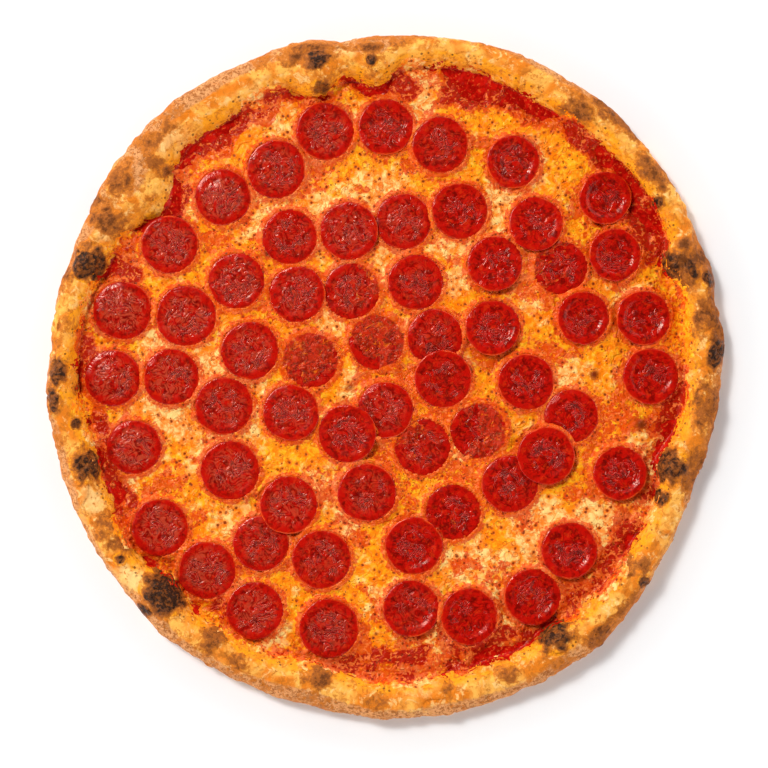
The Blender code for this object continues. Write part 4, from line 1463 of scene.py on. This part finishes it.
@dataclass
class SliceTree:
    """Geometry Nodes that turn a slice of sausage: a dished disc with a lip and wrinkles."""

    around: int = 124
    across: int = 36
    radius_curve: tuple[tuple[float, float], ...] = (
        (0.0, 0.0), (0.60, 0.92), (0.66, 0.98), (0.70, 1.0), (0.75, 0.985), (0.80, 0.93), (1.0, 0.0))
    height_curve: tuple[tuple[float, float], ...] = (
        (0.0, 0.95), (0.50, 0.97), (0.60, 0.93), (0.66, 0.76), (0.70, 0.45), (0.76, 0.1), (0.81, 0.0),
        (1.0, 0.0))

    def __post_init__(self) -> None:
        """Builds the tree."""
        nodes = NodeTree("pepperoni_slice", {
            "Geometry": "Geometry", "Radius": "Float", "Thickness": "Float", "Dish": "Float",
            "Cup": "Float", "Dome": "Float", "Wrinkle": "Float", "Seed": "Float",
            "Material": "Material"})
        self.tree = nodes.tree
        sockets = nodes.inputs
        grid = nodes.add("GeometryNodeMeshGrid", 1.0, 1.0, self.around + 1, self.across)
        place = nodes.add("GeometryNodeInputPosition")
        split = nodes.add("ShaderNodeSeparateXYZ", place).node.outputs
        turn = nodes.math("MULTIPLY", nodes.total(split["X"], 0.5), -2.0 * math.pi)
        along = nodes.total(split["Y"], 0.5)
        cos, sin = nodes.math("COSINE", turn), nodes.math("SINE", turn)
        share = nodes.curve(along, self.radius_curve)
        level = nodes.curve(along, self.height_curve)
        loop = nodes.add("ShaderNodeCombineXYZ", cos, sin, sockets["Seed"])
        sway = nodes.total(nodes.product(nodes.noise(loop, 900.0, 2.0), 0.13),
                           nodes.product(nodes.noise(loop, 180.0, 1.0), 0.040))
        radius = nodes.product(share, sockets["Radius"], nodes.total(1.0, sway))
        x, y = nodes.product(radius, cos), nodes.product(radius, sin)
        spot = nodes.add("ShaderNodeCombineXYZ", x, y, nodes.product(sockets["Seed"], 0.1))
        top = self._top_mask(nodes, along)
        inner = nodes.math("SUBTRACT", 1.0, self._rise(nodes, share, 0.56, 0.76))
        relief = nodes.product(self._wrinkles(nodes, spot), sockets["Wrinkle"], top,
                               nodes.total(nodes.product(inner, 0.85), 0.15))
        wave = nodes.product(nodes.noise(spot, 15.0, 1.0), 0.0012)
        lip = nodes.total(self._rise(nodes, share, *LIP_SHARES), -0.5)
        hill = nodes.math("SUBTRACT", 1.0, self._rise(nodes, share, 0.0, BULGE_SHARE))
        height = nodes.total(
            nodes.product(level, sockets["Thickness"]), nodes.product(sockets["Thickness"], -0.5),
            nodes.product(sockets["Dish"], share, share), nodes.product(sockets["Cup"], lip),
            nodes.product(sockets["Dome"], hill), relief, nodes.product(wave, share))
        position = nodes.add("ShaderNodeCombineXYZ", x, y, height)
        mesh = self._store(nodes, grid, "share", share)
        mesh = nodes.add("GeometryNodeSetPosition", mesh, None, position)
        mesh = nodes.add("GeometryNodeMergeByDistance", mesh, None, 0.000002)
        mesh = nodes.add("GeometryNodeSetShadeSmooth", mesh)
        mesh = nodes.add("GeometryNodeRealizeInstances", mesh)
        mesh = nodes.add("GeometryNodeSetMaterial", mesh, None, sockets["Material"])
        nodes.tree.links.new(mesh, nodes.output)

    @staticmethod
    def _rise(nodes: NodeTree, value: Any, low: float, high: float) -> Any:
        """Returns a smooth rise of a value from 0 at low to 1 at high."""
        return nodes.add("ShaderNodeMapRange", value, low, high, 0.0, 1.0,
                         settings={"interpolation_type": "SMOOTHSTEP"})

    def _top_mask(self, nodes: NodeTree, along: Any) -> Any:
        """Returns 1 on the top face, falling to 0 over the lip."""
        return nodes.math("SUBTRACT", 1.0, self._rise(nodes, along, 0.56, 0.66))

    @staticmethod
    def _wrinkles(nodes: NodeTree, spot: Any) -> Any:
        """Returns wrinkles and grains, in metres for a wrinkle strength of 1."""
        folds = nodes.math("ABSOLUTE", nodes.noise(spot, 3.6, 2.0))
        grains = nodes.noise(spot, 1.7, 2.0)
        dents = nodes.noise(spot, 7.5, 1.0)
        return nodes.total(nodes.product(folds, -0.0022), nodes.product(grains, 0.0011),
                           nodes.product(dents, 0.0012))

    @staticmethod
    def _store(nodes: NodeTree, mesh: Any, name: str, value: Any) -> Any:
        """Stores a number on every vertex."""
        node = nodes.tree.nodes.new("GeometryNodeStoreNamedAttribute")
        node.data_type = "FLOAT"
        node.domain = "POINT"
        nodes.tree.links.new(mesh, node.inputs["Geometry"])
        node.inputs["Name"].default_value = name
        nodes.tree.links.new(value, node.inputs["Value"])
        return node.outputs["Geometry"]


def run_tree(tree: bpy.types.NodeTree, name: str, base: bpy.types.Mesh, **inputs: Any,
             ) -> bpy.types.Mesh:
    """Runs a node tree on a mesh and returns the result as a plain mesh.

    Args:
        tree: The Geometry Nodes tree.
        name: The name of the new mesh.
        base: The mesh that goes in.
        inputs: The tree's inputs by name, with _ for a space.

    Returns:
        The mesh that came out.
    """
    blank = bpy.data.objects.new(name + "_blank", base)
    bpy.context.scene.collection.objects.link(blank)
    modifier = blank.modifiers.new(name, "NODES")
    modifier.node_group = tree
    identifiers = {item.name: item.identifier for item in tree.interface.items_tree
                   if item.item_type == "SOCKET" and item.in_out == "INPUT"}
    for key, value in inputs.items():
        modifier[identifiers[key.replace("_", " ")]] = value
    evaluated = blank.evaluated_get(bpy.context.evaluated_depsgraph_get())
    mesh = bpy.data.meshes.new_from_object(evaluated)
    mesh.name = name
    bpy.data.objects.remove(blank, do_unlink=True)
    return mesh


@dataclass
class Slices:
    """All the slices of sausage, each in the place of its CAD node."""

    layout: Layout
    wrinkle: float = 0.38
    cupped_wrinkle: float = 0.6        # share of the wrinkles that a deeply cupped slice keeps
    seed: int = 4

    def build(self) -> None:
        """Builds each slice and dresses it."""
        tree = SliceTree().tree
        material = PepperoniFinish().material()
        random = np.random.default_rng(self.seed)
        empty = bpy.data.meshes.new("no_faces")
        for piece in self.layout.slices + self.layout.hidden:
            wrinkle = self.wrinkle * random.uniform(0.7, 1.3)
            wrinkle *= self.cupped_wrinkle if piece.cup == DEEP_CUP else 1.0
            mesh = run_tree(tree, piece.name + "_slice", empty, Radius=piece.radius * MM,
                            Thickness=piece.thickness * MM, Dish=piece.dish * MM,
                            Cup=piece.cup * MM, Dome=piece.dome * MM, Wrinkle=float(wrinkle),
                            Seed=float(random.uniform(0.0, 40.0)), Material=material)
            self._place(mesh, piece)
            # How much bloom and painted sheen this slice shows.
            bloom = self._bloom(piece, float(random.uniform(-0.2, 0.2)))
            values = np.full(len(mesh.vertices), bloom, np.float32)
            mesh.attributes.new("bloom", "FLOAT", "POINT").data.foreach_set("value", values)
            solid = bpy.data.objects.new(mesh.name, mesh)
            bpy.context.scene.collection.objects.link(solid)
            dress(solid, (piece.name,) if piece in self.layout.slices else ())

    @staticmethod
    def _bloom(piece: Slice, spread: float) -> float:
        """Returns how much dull bloom and painted sheen a slice shows: more on the slices to the left, the
        lamps' side.
        """
        return float(np.clip(0.28 - piece.x / 235.0 + spread, 0.03, 1.0))

    @staticmethod
    def _place(mesh: bpy.types.Mesh, piece: Slice) -> None:
        """Moves a slice's mesh to its place, tilted as its CAD node is."""
        points = np.empty(len(mesh.vertices) * 3)
        mesh.vertices.foreach_get("co", points)
        points = points.reshape(-1, 3)
        points[:, 2] += piece.middle * MM + points[:, 0] * piece.slope_x + points[:, 1] * piece.slope_y
        points[:, 0] += piece.x * MM
        points[:, 1] += piece.y * MM
        mesh.vertices.foreach_set("co", points.reshape(-1))
        mesh.update()


@dataclass
class Studio:
    """The pale floor, the soft lights and the camera straight above."""

    photo_pixels: int = 768
    pixel_size: float = 0.6015         # on the ground
    centre: tuple[float, float] = (385.0, 377.0)
    camera_height: float = 1400.0
    sensor: float = 36.0
    key_place: tuple[float, float, float] = (-1.9, 1.9, 3.5)
    key_size: float = 1.40
    key_power: float = 91.0
    spark_size: float = 0.52
    spark_power: float = 52.0
    fill: float = 2.32                 # strength of the light from all round
    fill_band: tuple[float, float] = (0.42, 0.64)      # heights between which it fades upwards
    below: float = 0.7                 # share of it that comes from below the horizon
    below_band: tuple[float, float] = (0.0, 0.3)
    floor_size: float = 8.0
    floor_gap: float = 0.0002
    floor_tones: tuple[Colour, Colour] = ((0.94, 0.94, 0.945), (0.95, 0.95, 0.955))

    def build(self) -> None:
        """Adds the floor, the world's light, the lamp and the camera."""
        scene = bpy.context.scene
        scene.view_settings.view_transform = "Standard"
        self._floor()
        self._world(scene)
        self._lamp("key", self.key_size, self.key_power)
        self._lamp("spark", self.spark_size, self.spark_power)
        self._camera(scene)

    def _floor(self) -> None:
        """Adds the plain pale floor."""
        bpy.ops.mesh.primitive_plane_add(size=self.floor_size, location=(0.0, 0.0, -self.floor_gap))
        floor = bpy.context.object
        floor.name = "floor"
        paint = Paint("pale_floor")
        tone = paint.mix(paint.noise(400.0, 1.0), *self.floor_tones)
        floor.data.materials.append(paint.finish(tone, 0.85, paint.bump(paint.noise(3.0), 0.01)))

    def _world(self, scene: bpy.types.Scene) -> None:
        """Adds even light from all round, with a dark patch overhead that keeps wet colours deep."""
        world = bpy.data.worlds.new("studio")
        world.use_nodes = True
        tree = world.node_tree
        background = tree.nodes["Background"]
        background.inputs[0].default_value = (1.0, 1.0, 1.0, 1.0)
        way = tree.nodes.new("ShaderNodeTexCoord")
        split = tree.nodes.new("ShaderNodeSeparateXYZ")
        tree.links.new(way.outputs["Generated"], split.inputs[0])
        steps = []
        for low, high, first, last in ((*self.fill_band, self.fill, 0.0),
                                       (*self.below_band, self.below, 1.0)):
            span = tree.nodes.new("ShaderNodeMapRange")
            span.interpolation_type = "SMOOTHSTEP"
            tree.links.new(split.outputs["Z"], span.inputs["Value"])
            for socket, value in zip(list(span.inputs)[1:5], (low, high, first, last)):
                socket.default_value = value
            steps.append(span.outputs["Result"])
        power = tree.nodes.new("ShaderNodeMath")
        power.operation = "MULTIPLY"
        for socket, step in zip(power.inputs, steps):
            tree.links.new(step, socket)
        tree.links.new(power.outputs[0], background.inputs[1])
        scene.world = world

    def _lamp(self, name: str, size: float, power: float) -> None:
        """Adds a square lamp at the upper left, which faces the origin."""
        light = bpy.data.lights.new(name, "AREA")
        light.size = size
        light.energy = power
        lamp = bpy.data.objects.new(name, light)
        lamp.location = self.key_place
        lamp.rotation_euler = (-Vector(self.key_place)).to_track_quat("-Z", "Y").to_euler()
        bpy.context.scene.collection.objects.link(lamp)

    def _camera(self, scene: bpy.types.Scene) -> None:
        """Adds the camera straight above, with the photograph's frame."""
        lens = bpy.data.cameras.new("camera")
        lens.sensor_width = self.sensor
        lens.lens = self.sensor * self.camera_height / (self.photo_pixels * self.pixel_size)
        camera = bpy.data.objects.new("camera", lens)
        half = 0.5 * self.photo_pixels
        camera.location = ((half - self.centre[0]) * self.pixel_size * MM,
                           (self.centre[1] - half) * self.pixel_size * MM, self.camera_height * MM)
        scene.collection.objects.link(camera)
        scene.camera = camera


def main() -> None:
    """Builds the pizza's looks piece by piece."""
    logging.basicConfig(level=logging.INFO, format="%(message)s")
    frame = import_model()
    Studio().build()
    layout = Layout(frame)
    dough = Surface(Crust(layout).build())
    Sauce(layout, dough).build()
    Cheese(layout, dough).build()
    Slices(layout).build()


if __name__ == "__main__":
    main()
